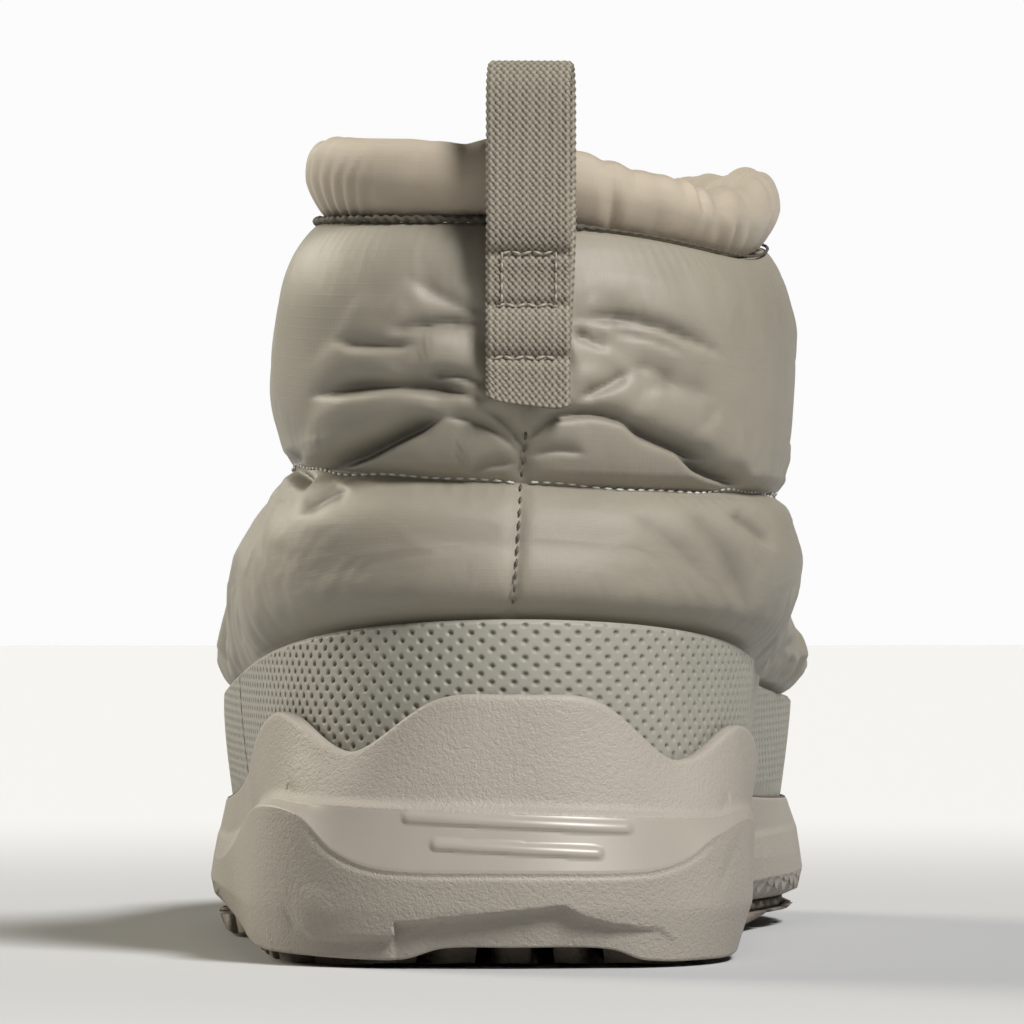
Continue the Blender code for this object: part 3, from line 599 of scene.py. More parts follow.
def runs_along(points):
    """How far along a line of points each of them lies."""
    return np.concatenate(([0.0], np.cumsum(np.linalg.norm(np.diff(points, axis=0), axis=1))))


def run_lengths(level):
    """How far round the boot each turn of ARC_TURN lies, along one seam."""
    return runs_along(seam_surface(level + 0 * ARC_TURN, ARC_TURN))


def arc_at(turn, runs):
    """Millimetres round the boot at turns, from one seam's run lengths."""
    return np.interp(np.mod(turn, 1.0), ARC_TURN, runs) / MM


def grid_sheet(columns, rows, place, mark=None):
    """A flat grid whose corners are carried to place(across, up), both from 0 to 1, with a UV map.

    mark(across, up) gives each corner a share from 0 to 1, which its material reads.
    """
    shape = bmesh.new()
    shape.loops.layers.uv.new("sheet")
    bmesh.ops.create_grid(shape, x_segments=columns, y_segments=rows, size=0.5, calc_uvs=True)
    flat = np.array([vertex.co[:2] for vertex in shape.verts]) + 0.5
    across = np.round(flat[:, 0] * columns) / columns
    up = np.round(flat[:, 1] * rows) / rows
    for vertex, spot in zip(shape.verts, place(across, up)):
        vertex.co = spot
    if mark is not None:
        layer = shape.verts.layers.float.new("mark")
        for vertex, share in zip(shape.verts, mark(across, up)):
            vertex[layer] = share
    return shape


def grid_line(share, count):
    """Number of the grid line at a share of the way across or up."""
    return np.round(share * count).astype(int)


def weld(shape):
    """Joins the sheet's edges where they meet."""
    bmesh.ops.remove_doubles(shape, verts=shape.verts, dist=2e-6)


def close_ends(shape):
    """Fills the open outlines of a sheet that was joined along one way only."""
    bmesh.ops.holes_fill(shape, edges=[edge for edge in shape.edges if edge.is_boundary])


def show(name, data):
    """A new object in the scene."""
    holder = bpy.data.objects.new(name, data)
    bpy.context.scene.collection.objects.link(holder)
    return holder


def add_piece(name, shape, finishes, replaces=(), uv_size=None):
    """The finished shape as a piece of the boot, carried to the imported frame, with its UVs in millimetres."""
    bmesh.ops.translate(shape, verts=shape.verts, vec=Vector(FRAME_SHIFT))
    bmesh.ops.recalc_face_normals(shape, faces=shape.faces)
    mesh = bpy.data.meshes.new(name)
    shape.to_mesh(mesh)
    shape.free()
    mesh.shade_smooth()
    if uv_size is not None:
        layer = mesh.uv_layers["sheet"].data
        flat = np.empty(len(layer) * 2)
        layer.foreach_get("uv", flat)
        flat = flat.reshape(-1, 2) * np.array(uv_size) / MM
        layer.foreach_set("uv", flat.ravel())
    for finish in finishes:
        mesh.materials.append(finish)
    piece = show(name, mesh)
    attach(piece, "root")
    if replaces:
        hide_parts(*replaces)
    return piece


def pressed_creases(across, up, creases):
    """Relief of many creases on a flat of places (across, up), all in millimetres."""
    relief = np.zeros(across.shape)
    steps = np.linspace(0.0, 1.0, 13)
    for crease in creases:
        first = np.array((crease.from_x, crease.from_z))
        last = np.array((crease.to_x, crease.to_z))
        bend = 2 * np.array((crease.by_x, crease.by_z)) - (first + last) / 2
        path = np.array([first * (1 - s) ** 2 + bend * 2 * s * (1 - s) + last * s * s for s in steps])
        reach = CREASE_REACH * crease.half_width
        low, high = path.min(axis=0) - reach, path.max(axis=0) + reach
        near = np.nonzero((across > low[0]) & (across < high[0]) & (up > low[1]) & (up < high[1]))[0]
        if not len(near):
            continue
        x, z = across[near], up[near]
        nearest, side, along = np.full(x.shape, 1e9), np.ones(x.shape), np.zeros(x.shape)
        for index in range(len(path) - 1):
            run = path[index + 1] - path[index]
            off_x, off_z = x - path[index][0], z - path[index][1]
            share = np.clip((off_x * run[0] + off_z * run[1]) / (run @ run), 0, 1)
            distance = np.hypot(off_x - share * run[0], off_z - share * run[1])
            closer = distance < nearest
            nearest = np.where(closer, distance, nearest)
            side = np.where(closer, np.sign(run[0] * off_z - run[1] * off_x), side)
            along = np.where(closer, (index + share) / (len(path) - 1), along)
        left_to_right = math.copysign(1.0, last[0] - first[0])
        signed = nearest * side * left_to_right * math.copysign(1.0, crease.lip)
        ends = ease(along, 0.0, 0.3) * (1 - ease(along, 0.7, 1.0))
        width = crease.half_width * (0.5 + 0.5 * ends)
        above, below = np.maximum(signed, 0.0) / width, np.maximum(-signed, 0.0) / width
        trough = np.exp(-(above / SLOPE_SIDE) ** 1.35 - (below / STEEP_SIDE) ** 1.6)
        roll = above / LIP_PLACE
        lip = roll * np.exp(1 - roll) * (1 - ease(above, *LIP_END))
        relief[near] += ends * (abs(crease.lip) * lip - crease.depth * trough)
    return relief


def side_creases():
    """Gathers that run from the seams into the padding of the sides and the front, always the same ones."""
    draw = np.random.RandomState(11)
    around = ARC_LENGTH[-1] / MM
    creases = []
    for seam, sign in ((RAND_TOP, 1), (MAIN_SEAM, -1), (MAIN_SEAM, 1), (COLLAR_SEAM, -1)):
        place = CREASES_BY_HAND + draw.uniform(0, 6)
        while place < around - CREASES_BY_HAND:
            height = draw.uniform(7.0, 19.0)
            lean = draw.uniform(-9.0, 9.0)
            first = (place, seam * LEVEL_HEIGHT + sign * draw.uniform(0.5, 2.5))
            last = (place + lean, first[1] + sign * height)
            middle = (place + lean * draw.uniform(0.2, 0.8), first[1] + sign * height * 0.5)
            width = draw.uniform(1.2, 2.2)
            depth = draw.uniform(0.4, 1.0)
            creases.append(Crease(*first, *middle, *last, width, depth, draw.choice((-0.6, 0.6)) * depth))
            place += draw.uniform(8.0, 20.0)
    return creases


def warped_turn(across):
    """Turns with the columns drawn together at the heel's back."""
    return np.mod(across - COLUMN_PULL * np.sin(math.tau * across) / math.tau, 1.0)


def back_seam_x(z):
    """The back seam leans a little to the outer side on its way down."""
    return blend(*BACK_SEAM_X, (z - BACK_SEAM_FOOT) / BACK_SEAM_RISE)


def puckers(level, turn, at_back):
    """Gathers that the sewing draws in beside the seams: long on the sides, fine at the back."""
    arc = arc_at(turn, ARC_LENGTH)
    wander = 0.9 * np.sin(arc / 17.0) + 0.7 * np.sin(arc / 7.3 + 1.0)
    long_ridges = 1 - 2 * np.abs(np.sin(math.pi * arc / 9.0 + wander))
    fine_ridges = 1 - 2 * np.abs(np.sin(math.pi * arc / 3.1 + 1.6 * wander))
    strength = 0.55 + 0.45 * np.sin(arc / 23.0 + 2.0) * np.sin(arc / 11.0)
    total = np.zeros(level.shape)
    for seam in (RAND_TOP, TOE_SEAM, MAIN_SEAM, INSTEP_SEAM, COLLAR_SEAM):
        away = np.abs(level - seam) * LEVEL_HEIGHT
        sewn = split_strength(turn) if seam in (TOE_SEAM, INSTEP_SEAM) else 1.0
        reach = {RAND_TOP: 0.15, COLLAR_SEAM: 0.45}.get(seam, 1.0)
        risen = 1 - np.exp(-away / 0.8)
        on_side = 0.0008 * np.exp(-away / 4.0) * long_ridges * (1 - at_back)
        on_back = 0.0005 * np.exp(-away / 1.6) * fine_ridges * at_back
        total += sewn * reach * risen * (on_side + on_back)
    return total * strength


def padded_skin(level, turn):
    """Outer face of the padded upper with its creases, gathers and back seam."""
    skin = upper_skin(level, turn)
    arc = arc_at(turn, ARC_LENGTH)
    at_back = 1 - ease(skin[:, 1], *FOLD_END)
    relief = pressed_creases(skin[:, 0] / MM, skin[:, 2] / MM, CREASES) * MM * FOLD_DEPTH * at_back
    relief += pressed_creases(arc, level * LEVEL_HEIGHT, side_creases()) * MM * (1 - at_back)
    relief += puckers(level, turn, at_back)
    from_seam = (skin[:, 0] - back_seam_x(skin[:, 2])) / MM
    stuffed = padding(level, turn)
    squared = (level > MAIN_SEAM) * (1 - ease(level, *SQUARE_LEVELS)) * (1 - ease(skin[:, 1], *SQUARE_END))
    squared *= 1 - np.exp(-(from_seam / SQUARE_FROM_SEAM) ** 2)
    relief += SQUARE_BACK * (np.sqrt(stuffed * PADDING_PEAK) - stuffed) * squared
    on_seam = (level > RAND_TOP) & (level < BACK_SEAM_LEVEL) & (skin[:, 1] < HEEL_BACK_END)
    relief -= BACK_SEAM_DEPTH * np.exp(-np.abs(from_seam / BACK_SEAM_HALF) ** 1.5) * on_seam
    sewn = np.clip(stuffed / SEWN_FLAT, 0.0, 1.0)
    return skin + seam_normal(level, turn) * (relief * sewn)[:, None]


def fold_shade(level, turn):
    """How deep a place lies inside a fold of the back, from 0 to 1: the share of painted shade that the nylon's
    colour takes there.
    """
    skin = upper_skin(level, turn)
    at_back = 1 - ease(skin[:, 1], *FOLD_END)
    relief = pressed_creases(skin[:, 0] / MM, skin[:, 2] / MM, CREASES)
    return np.clip(-relief / DEEP_FOLD, 0.0, 1.0) * at_back * (level > RAND_TOP)


def billowed_sheet():
    """Shift of every second grid place of the padding after it billows as cloth, sewn down at its seams."""
    columns, rows = SHELL_COLUMNS // 2, SHELL_ROWS // 2
    levels = np.linspace(RAND_TOP, COLLAR_SEAM, rows + 1)

    def place(across, up):
        level, turn = levels[grid_line(up, rows)], warped_turn(across)
        slack = CLOTH_SLACK * padding(level, turn)
        return upper_skin(level, turn) - seam_normal(level, turn) * slack[:, None]

    shape = grid_sheet(columns, rows, place)
    label = shape.verts.layers.int.new("label")
    uv = shape.loops.layers.uv.active
    for face in shape.faces:
        for loop in face.loops:
            row, column = round(loop[uv].uv.y * rows), round(loop[uv].uv.x * columns)
            loop.vert[label] = row * columns + column % columns
    weld(shape)
    bmesh.ops.recalc_face_normals(shape, faces=shape.faces)
    mesh = bpy.data.meshes.new("billow")
    shape.to_mesh(mesh)
    shape.free()
    labels = np.empty(len(mesh.vertices), np.int32)
    mesh.attributes["label"].data.foreach_get("value", labels)
    level = levels[labels // columns]
    turn = warped_turn((labels % columns) / columns)
    split = (split_strength(turn) > 0.5) & (np.abs(level - np.round(level)) < 1e-6)
    sewn = (np.abs(level - RAND_TOP) < 1e-6) | (np.abs(level - MAIN_SEAM) < 1e-6)
    sewn |= (np.abs(level - COLLAR_SEAM) < 1e-6) | split
    piece = show("billow", mesh)
    group = piece.vertex_groups.new(name="sewn")
    group.add(np.nonzero(sewn)[0].tolist(), 1.0, "REPLACE")
    cloth = piece.modifiers.new("billow", "CLOTH")
    for setting, value in CLOTH_SETTINGS.items():
        setattr(cloth.settings, setting, value)
    cloth.settings.effector_weights.gravity = 0.0
    cloth.point_cache.frame_end = CLOTH_FRAMES
    for number in range(1, CLOTH_FRAMES + 1):
        bpy.context.scene.frame_set(number)
    before = np.empty(len(labels) * 3)
    mesh.vertices.foreach_get("co", before)
    swollen = piece.evaluated_get(bpy.context.evaluated_depsgraph_get()).to_mesh()
    after = np.empty(len(labels) * 3)
    swollen.vertices.foreach_get("co", after)
    shift = np.zeros(((rows + 1) * columns, 3))
    shift[labels] = (after - before).reshape(-1, 3)
    size = np.linalg.norm(shift, axis=1, keepdims=True)
    shift *= np.minimum(1.0, CLOTH_CAP / np.maximum(size, 1e-9))
    slack = CLOTH_SLACK * padding(level, turn)
    shift[labels] -= seam_normal(level, turn) * slack[:, None]
    bpy.data.objects.remove(piece)
    bpy.context.scene.frame_set(1)
    shift[labels] *= blend(BACK_CALM, SIDE_CALM, ease(before.reshape(-1, 3)[:, 1], *CALM_RUN))[:, None]
    return shift.reshape(rows + 1, columns, 3)


def refined(grid):
    """The same shifts on a grid twice as fine, round and up, smoothed along the new lines."""
    fine = np.repeat(grid, 2, axis=1)
    fine[:, 1::2] = (grid + np.roll(grid, -1, axis=1)) / 2
    tall = np.repeat(fine, 2, axis=0)[:-1]
    tall[1::2] = (fine[:-1] + fine[1:]) / 2
    tall = (np.roll(tall, 1, axis=1) + 2 * tall + np.roll(tall, -1, axis=1)) / 4
    tall[1:-1] = (tall[:-2] + 2 * tall[1:-1] + tall[2:]) / 4
    return tall


def make_upper(nylon, lining):
    """Padded shell and its lining as one closed wall."""
    outer = np.concatenate((FOOT_LEVELS, np.linspace(RAND_TOP, COLLAR_SEAM, SHELL_ROWS + 1)))
    billow = np.zeros((SHELL_ROWS + 1, SHELL_COLUMNS, 3))
    billow = refined(billowed_sheet())
    inner = np.linspace(COLLAR_SEAM, FEATHER, LINING_ROWS)
    levels = np.concatenate((outer, inner, [0.0]))
    inside = np.concatenate((np.zeros(len(outer)), np.ones(len(inner)), [0.0]))
    rows = len(levels) - 1

    def place(across, up):
        row = grid_line(up, rows)
        turn, level = warped_turn(across), levels[row]
        hidden = inside[row][:, None] > 0
        skin = padded_skin(level, turn)
        padded_row = np.clip(row - len(FOOT_LEVELS), 0, SHELL_ROWS)
        skin += billow[padded_row, grid_line(across, SHELL_COLUMNS) % SHELL_COLUMNS]
        return np.where(hidden, upper_lining(level, turn), skin)

    # Painted shade: each corner's fold depth, which darkens the nylon's colour inside the folds
    def shade(across, up):
        row = grid_line(up, rows)
        return fold_shade(levels[row], warped_turn(across)) * (1 - inside[row])

    shape = grid_sheet(SHELL_COLUMNS, rows, place, shade)
    uv = shape.loops.layers.uv.active
    for face in shape.faces:
        height = sum(loop[uv].uv.y for loop in face.loops) / len(face.loops)
        face.material_index = int(height * rows > len(outer) - 0.5)
    weld(shape)
    piece = add_piece("upper_shell", shape, [nylon, lining], ["upper"], (0.62, 0.15))


def film_relief(arc, height, dimpled):
    """Staggered dimples of the moulded film, as a depth below its face."""
    row = np.round(height / DIMPLE_ROW)
    depth = np.zeros(arc.shape)
    for offset in (-1, 0, 1):
        near_row = row + offset
        shift = np.where(np.mod(near_row, 2) > 0.5, DIMPLE_PITCH / 2, 0.0)
        column = np.round((arc - shift) / DIMPLE_PITCH)
        off_x = arc - shift - column * DIMPLE_PITCH
        off_z = height - near_row * DIMPLE_ROW
        radius = np.hypot(off_x, off_z * 1.1) / DIMPLE_RADIUS
        depth = np.maximum(depth, np.clip(1 - radius**2, 0.0, 1.0) ** 1.2)
    return DIMPLE_DEPTH * depth * dimpled


def dimpled(level, turn):
    """Where the film has dimples: not on its top edge, its joints or the toe."""
    place = np.mod(turn, 1.0)
    sides = 1 - ease(place, 0.40, 0.46) * (1 - ease(place, 0.54, 0.60))
    edge = 1 - ease(level, OVERLAY_TOP_LEVEL - 0.035, OVERLAY_TOP_LEVEL)
    for joint in (RAND_STEP_TURN, COUNTER_INNER_END):
        edge = edge * ease(np.abs(place - joint), 0.003, 0.006)
    return sides * edge


def make_film(name, node, first, last, columns, rows_up, material):
    """A moulded overlay between two turns: a thin closed band with a dimpled face."""
    face_levels = np.concatenate((np.linspace(0.02, 0.35, 6), np.linspace(0.36, OVERLAY_TOP_LEVEL, rows_up)))
    levels = np.concatenate((face_levels, face_levels[::9][::-1], face_levels[:1]))
    front = np.concatenate((np.ones(len(face_levels)), np.zeros(len(face_levels[::9])), [1.0]))
    rows = len(levels) - 1
    trim = FIT_GAP / SOLE_LENGTH
    two_laps = np.concatenate((ARC_TURN, ARC_TURN[1:] + 1.0))
    two_arcs = np.concatenate((FILM_ARC, FILM_ARC[1:] + FILM_ARC[-1]))
    arc_ends = np.interp(np.array((first + trim, last - trim)) + 1.0, two_laps, two_arcs)

    def spot(across, up):
        row = grid_line(up, rows)
        arc = blend(arc_ends[0], arc_ends[1], across)
        turn = np.interp(np.mod(arc, FILM_ARC[-1]), FILM_ARC, ARC_TURN)
        level = levels[row]
        height = seam_surface(level, turn)[:, 2]
        return row, level, turn, film_relief(arc, height, dimpled(level, turn))

    def place(across, up):
        row, level, turn, pits = spot(across, up)
        thin = (np.mod(turn, 1.0) > RAND_STEP_TURN) & (np.mod(turn, 1.0) < COUNTER_INNER_END - trim / 2)
        thickness = np.where(thin, OVERLAY_THIN, OVERLAY)
        rounded = 0.0006 * ease(level, OVERLAY_TOP_LEVEL - 0.03, OVERLAY_TOP_LEVEL)
        stand_off = FIT_GAP + front[row] * (thickness - pits - rounded)
        return upper_skin(level, turn, stand_off)

    # Painted shade: the dimples' depth share, which darkens the film's colour in its pits
    def painted_pit_shade(across, up):
        row, _, _, pits = spot(across, up)
        return pits / DIMPLE_DEPTH * front[row]

    shape = grid_sheet(columns, rows, place, painted_pit_shade)
    weld(shape)
    close_ends(shape)
    add_piece(name, shape, [material], [node], (arc_ends[1] - arc_ends[0], 0.06))


def cup_top_level(turn):
    """The upper's level at the cup sole's top edge."""
    foot = seam_surface(FEATHER + 0 * turn, turn)[..., 2]
    crest = seam_surface(RAND_TOP + 0 * turn, turn)
    height = edge_height(CUP_TOP_EDGE, turn) + toe_spring(crest[..., 1])
    return (height - foot) / (crest[..., 2] - foot)


def cup_inner_wall(turn, share, rim=0.0):
    """Inside of the cup, from its top edge (share 1) down to the footbed (share 0)."""
    return upper_skin(cup_top_level(turn) * share, turn, OVERLAY + 2 * FIT_GAP + rim)


def cup_rim(turn):
    """Thickness of the cup's top edge: full round the heel, thin along the sides and round the toe."""
    return blend(CUP_RIM, CUP_RIM_FRONT, ease(station(turn), RIM_THIN_START, RIM_THIN_END))


def cup_side(row, turn):
    """One line of the cup's side."""
    height = None
    if row in CUP_EDGES:
        height = edge_height(CUP_EDGES[row], turn) + (SCOOP_STEP if row == SCOOP_FOOT else 0.0)
    return ring_points(CUP_SECTIONS[row], turn, height)


def cup_under(turn):
    """Outline of the cup sole's underside over the tread."""
    points = ring_points(inset(CUP_SECTIONS[0], UNDER_INSET), turn, 0.0)
    points[..., 2] = TREAD_TOP + FIT_GAP + ground_lift(points[..., 1])
    return points


def edge_notches(points):
    """Notches along the forefoot's lower edge, as a lift of that edge."""
    y = points[..., 1]
    wave = ease(np.abs(np.mod(y / MM / NOTCH_PITCH, 1.0) - 0.5), 0.24, 0.32)
    return NOTCH_LIFT * wave * ease(y, *FOREFOOT_START) * (1 - ease(y, *FOREFOOT_END))


def rib_relief(points):
    """How far the two ribs stand out of the smooth band: rounded bars."""
    x, z = points[..., 0] / MM, points[..., 2] / MM
    total = np.zeros(x.shape)
    for rib in RIBS:
        run_x, run_z = rib.to_x - rib.from_x, rib.to_z - rib.from_z
        share = np.clip(((x - rib.from_x) * run_x + (z - rib.from_z) * run_z) / (run_x**2 + run_z**2), 0, 1)
        away = np.hypot(x - rib.from_x - share * run_x, z - rib.from_z - share * run_z) / rib.half_width
        total = np.maximum(total, rib.rise * np.sqrt(np.clip(1 - away**2, 0.0, 1.0)))
    return MM * total * (points[..., 1] < HEEL_BACK_END)


def heel_step(points):
    """A recess under the slanting edge at the foot of the heel, as a depth."""
    x, z = points[..., 0] / MM, points[..., 2] / MM
    edge = np.interp(x, [row.x for row in HEEL_STEP], [row.z for row in HEEL_STEP])
    depth = np.interp(x, [row.x for row in HEEL_STEP], [row.depth for row in HEEL_STEP])
    return MM * depth * ease(edge - z, 0.0, 0.5) * (points[..., 1] < HEEL_BACK_END)


def make_midsole(foam):
    """Foam cup sole with its ledge, smooth band, ribs, heel step and notched edge."""
    lines = (
        (cup_under, 4),
        (lambda turn: cup_side(LOWER_EDGE, turn), 18),
        (lambda turn: cup_side(WIDEST_LINE, turn), 16),
        (lambda turn: cup_side(BAND_EDGE, turn), 28),
        (lambda turn: cup_side(LEDGE, turn), 4),
        (lambda turn: cup_side(SCOOP_FOOT, turn), 18),
        (lambda turn: cup_inner_wall(turn, 1.0, cup_rim(turn)), 4),
        (lambda turn: cup_inner_wall(turn, 1.0), 4),
        (lambda turn: cup_inner_wall(turn, 0.0) - np.array((0, 0, FIT_GAP)), 0),
    )
    columns = CUP_COLUMNS
    band_foot = sum(steps for _, steps in lines[:3])
    band_top = band_foot + lines[3][1]
    turn = warped_turn(np.arange(columns) / columns)
    rings, edge_share = [], []
    for index, (line, steps) in enumerate(lines):
        here = line(turn)
        ahead = lines[index + 1][0](turn) if steps else here
        for step in range(max(steps, 1)):
            rings.append(blend(here, ahead, step / max(steps, 1)))
            edge_share.append({0: step / max(steps, 1), 1: 1 - step / max(steps, 1)}.get(index, 0.0))
    rings = np.array(rings)
    kept = rings.copy()
    rings[1:-1] = (rings[:-2] + 2 * rings[1:-1] + rings[2:]) / 4
    rings[0], rings[-1] = kept[0], kept[-1]
    at_heel = rings[..., 1] < HEEL_BACK_END
    band_height = (rings[band_top, :, 2] - rings[band_foot, :, 2]) / MM
    for offset, depth in BAND_GROOVE:
        grooved = ease(band_height, 1.0, 5.0) * at_heel[band_foot + offset]
        rings[band_foot + offset, :, 1] += depth * grooved
    rings[..., 2] += edge_notches(rings) * np.array(edge_share)[:, None]
    rings[band_foot:band_top, :, 1] -= rib_relief(rings[band_foot:band_top])
    rings[:band_foot, :, 1] += heel_step(rings[:band_foot])
    lines_pressed = pressed_creases(rings[..., 0].ravel() / MM, rings[..., 2].ravel() / MM, FOAM_LINES)
    rings[..., 1] -= MM * lines_pressed.reshape(rings.shape[:2]) * at_heel
    rows = len(rings) - 1

    def place(across, up):
        row = grid_line(up, rows)
        return rings[row, grid_line(across, columns) % columns]

    def smooth_band(across, up):
        row = grid_line(up, rows)
        heel = 1 - ease(place(across, up)[:, 1], 0.020, 0.040)
        return ((row > band_foot) & (row < band_top)) * heel

    shape = grid_sheet(columns, rows, place, smooth_band)
    weld(shape)
    close_ends(shape)
    add_piece("midsole_foam", shape, [foam], ["midsole"], (0.75, 0.12))


def cuff_frame(turn):
    """Seat of the cuff on the collar seam, with its outward direction."""
    level = COLLAR_SEAM + 0 * turn
    outward = seam_normal(level, turn)
    outward[..., 2] = 0.0
    outward = unit(outward)
    return seam_surface(level, turn) - outward * (WALL_COLLAR / 2), outward


def cuff_gathers():
    """Every gather of the cuff: those of the back as listed, the rest spaced round the ring."""
    draw = np.random.RandomState(5)
    gathers = list(CUFF_GATHERS)
    place = GATHERS_BY_HAND
    around = CUFF_ARC[-1] / MM
    while place < around - GATHERS_BY_HAND:
        depth = draw.uniform(0.5, 1.4)
        gathers.append(Gather(place, draw.uniform(1.2, 2.4), depth, depth * 0.35, draw.uniform(-5.0, 5.0)))
        place += draw.uniform(6.0, 12.0)
    return gathers


def make_cuff(material):
    """Gathered collar cuff: an oval roll drawn in at many small pleats."""
    columns, rows = CUFF_COLUMNS, CUFF_ROWS

    def place(across, up):
        turn, angle = warped_turn(across), math.tau * up
        seat, outward = cuff_frame(turn)
        arc = arc_at(turn, CUFF_ARC)
        around = CUFF_ARC[-1] / MM
        arc = np.where(arc > around / 2, arc - around, arc)
        rise = np.sin(angle)
        high = (rise + 1) / 2
        relief = np.zeros(arc.shape)
        for gather in cuff_gathers():
            middle = gather.place if gather.place < around / 2 else gather.place - around
            off = (arc - middle - gather.slant * rise) / gather.half_width
            depth = gather.low_depth * (1 - high) ** 2.4 + gather.top_depth * high**1.6
            ridges = 0.35 * np.exp(-(((np.abs(off) - 2.2) / 1.2) ** 2))
            relief += depth * (ridges - np.exp(-np.abs(off) ** 1.6))
        half_height = edge_height(CUFF_HEIGHT, turn) / 2
        relief += 0.35 * np.sin(arc / 2.9 + 2.0 * np.sin(arc / 7.0)) * (arc < 0)
        half_height = half_height + 0.00025 * np.sin(arc / 4.3 + 2.0 * np.sin(arc / 9.0))
        section = np.cos(angle) * (1 - CUFF_NARROW_FOOT * np.clip(-rise, 0.0, 1.0))
        seat = seat + outward * (CUFF_LEAN * rise)[:, None]
        points = seat + outward * ((CUFF_HALF_WIDTH + relief * MM) * section)[:, None]
        points[:, 2] += FIT_GAP + half_height + (half_height + relief * MM * (rise > 0)) * rise
        return points

    shape = grid_sheet(columns, rows, place)
    weld(shape)
    piece = add_piece("cuff_gathers", shape, [material], ["collar_cuff"], (0.30, 0.04))


def make_overlock(material):
    """Twisted edge binding between the cuff and the padding."""
    columns, rows = BINDING_COLUMNS, BINDING_ROWS

    def place(across, up):
        turn, angle = np.mod(across, 1.0), math.tau * up
        seat, outward = cuff_frame(turn)
        arc = arc_at(turn, CUFF_ARC)
        rough = 0.22 * np.sin(arc / 0.9) * np.sin(arc / 2.7)
        around = CUFF_ARC[-1] / MM
        under = ease(np.where(arc > around / 2, around - arc, -arc), 8.0, 20.0)
        twist = 0.28 * np.cos(2 * angle - math.tau * arc / BINDING_TWIST)
        radius = blend(BINDING_RADIUS, BINDING_THIN, under) * (1 + rough + twist)
        points = seat + outward * (WALL_COLLAR / 2 + 0.0002 + radius * np.cos(angle))[:, None]
        points[:, 2] += 0.0006 + radius * np.sin(angle)
        return points

    shape = grid_sheet(columns, rows, place)
    weld(shape)
    add_piece("collar_overlock", shape, [material], uv_size=(0.30, 0.005))


def loop_layer_y(z):
    """Back face of the upper behind the webbing, drawn on straight above the channel's crown."""
    level = np.array([blend(MAIN_SEAM, COLLAR_SEAM, 0.46)])
    crown = upper_skin(level, np.zeros(1))[0]
    return crown[1] - FIT_GAP - 0.0006 + 0.05 * max(z - crown[2], 0.0)


def loop_path():
    """Centre line of the webbing: up the outer layer, over the top, down the inner layer."""
    heights = [LOOP_BOTTOM, 0.110, 0.118, LOOP_SPLIT, 0.134, LOOP_OPEN, 0.150, 0.1575]
    inner, outer = [], []
    for z in heights:
        gap = blend(LOOP_LAYER_GAP, LOOP_EYE, ease(z, LOOP_SPLIT, LOOP_OPEN))
        back = loop_layer_y(z) - LOOP_THICKNESS / 2 + gap * ease(z, LOOP_SPLIT, LOOP_OPEN) * 0.55
        back += LOOP_PRESS * (1 - ease(z, LOOP_SPLIT - 0.006, LOOP_SPLIT + 0.006))
        inner.append((LOOP_CENTRE + LOOP_SKEW * ease(z, LOOP_BOTTOM, LOOP_OPEN), back, z))
        outer.append((LOOP_CENTRE, back - LOOP_THICKNESS - gap, z))
    first, last = np.array(outer[-1]), np.array(inner[-1])
    rise = LOOP_TOP - LOOP_THICKNESS / 2 - heights[-1]
    fold = []
    for step in range(1, 6):
        angle = math.pi * step / 6
        point = blend(first, last, (1 - math.cos(angle)) / 2)
        fold.append(tuple(point + np.array((0, 0, rise * math.sin(angle)))))
    return np.array(outer + fold + inner[::-1])


def weave_height(across, along):
    """Relief of the webbing's threads: rows of oval beads, each row half a bead on from the last."""
    total = np.zeros(across.shape)
    for offset in (-1, 0, 1):
        row = np.floor(along / WEAVE_ROW) + offset
        shift = WEAVE_COLUMN / 2 * np.mod(row, 2)
        off_x = across - shift - np.round((across - shift) / WEAVE_COLUMN) * WEAVE_COLUMN
        off_z = along - (row + 0.5) * WEAVE_ROW + 0.18 * off_x
        size = (off_x / (0.46 * WEAVE_COLUMN)) ** 2 + (off_z / (0.74 * WEAVE_ROW)) ** 2
        total = np.maximum(total, np.sqrt(np.clip(1 - size, 0.0, 1.0)))
    return WEAVE_DEPTH * total


def loop_samples(count):
    """Evenly spaced places along the webbing, with the run along it."""
    path = loop_path()
    runs = runs_along(path)
    at = np.linspace(0.0, runs[-1], count)
    centre = np.stack([curve_through(runs, path[:, axis], at) for axis in range(3)], axis=-1)
    along = unit(np.gradient(centre, axis=0))
    out = np.stack((np.zeros(count), -along[:, 2], along[:, 1]), axis=-1)
    return at, centre, out


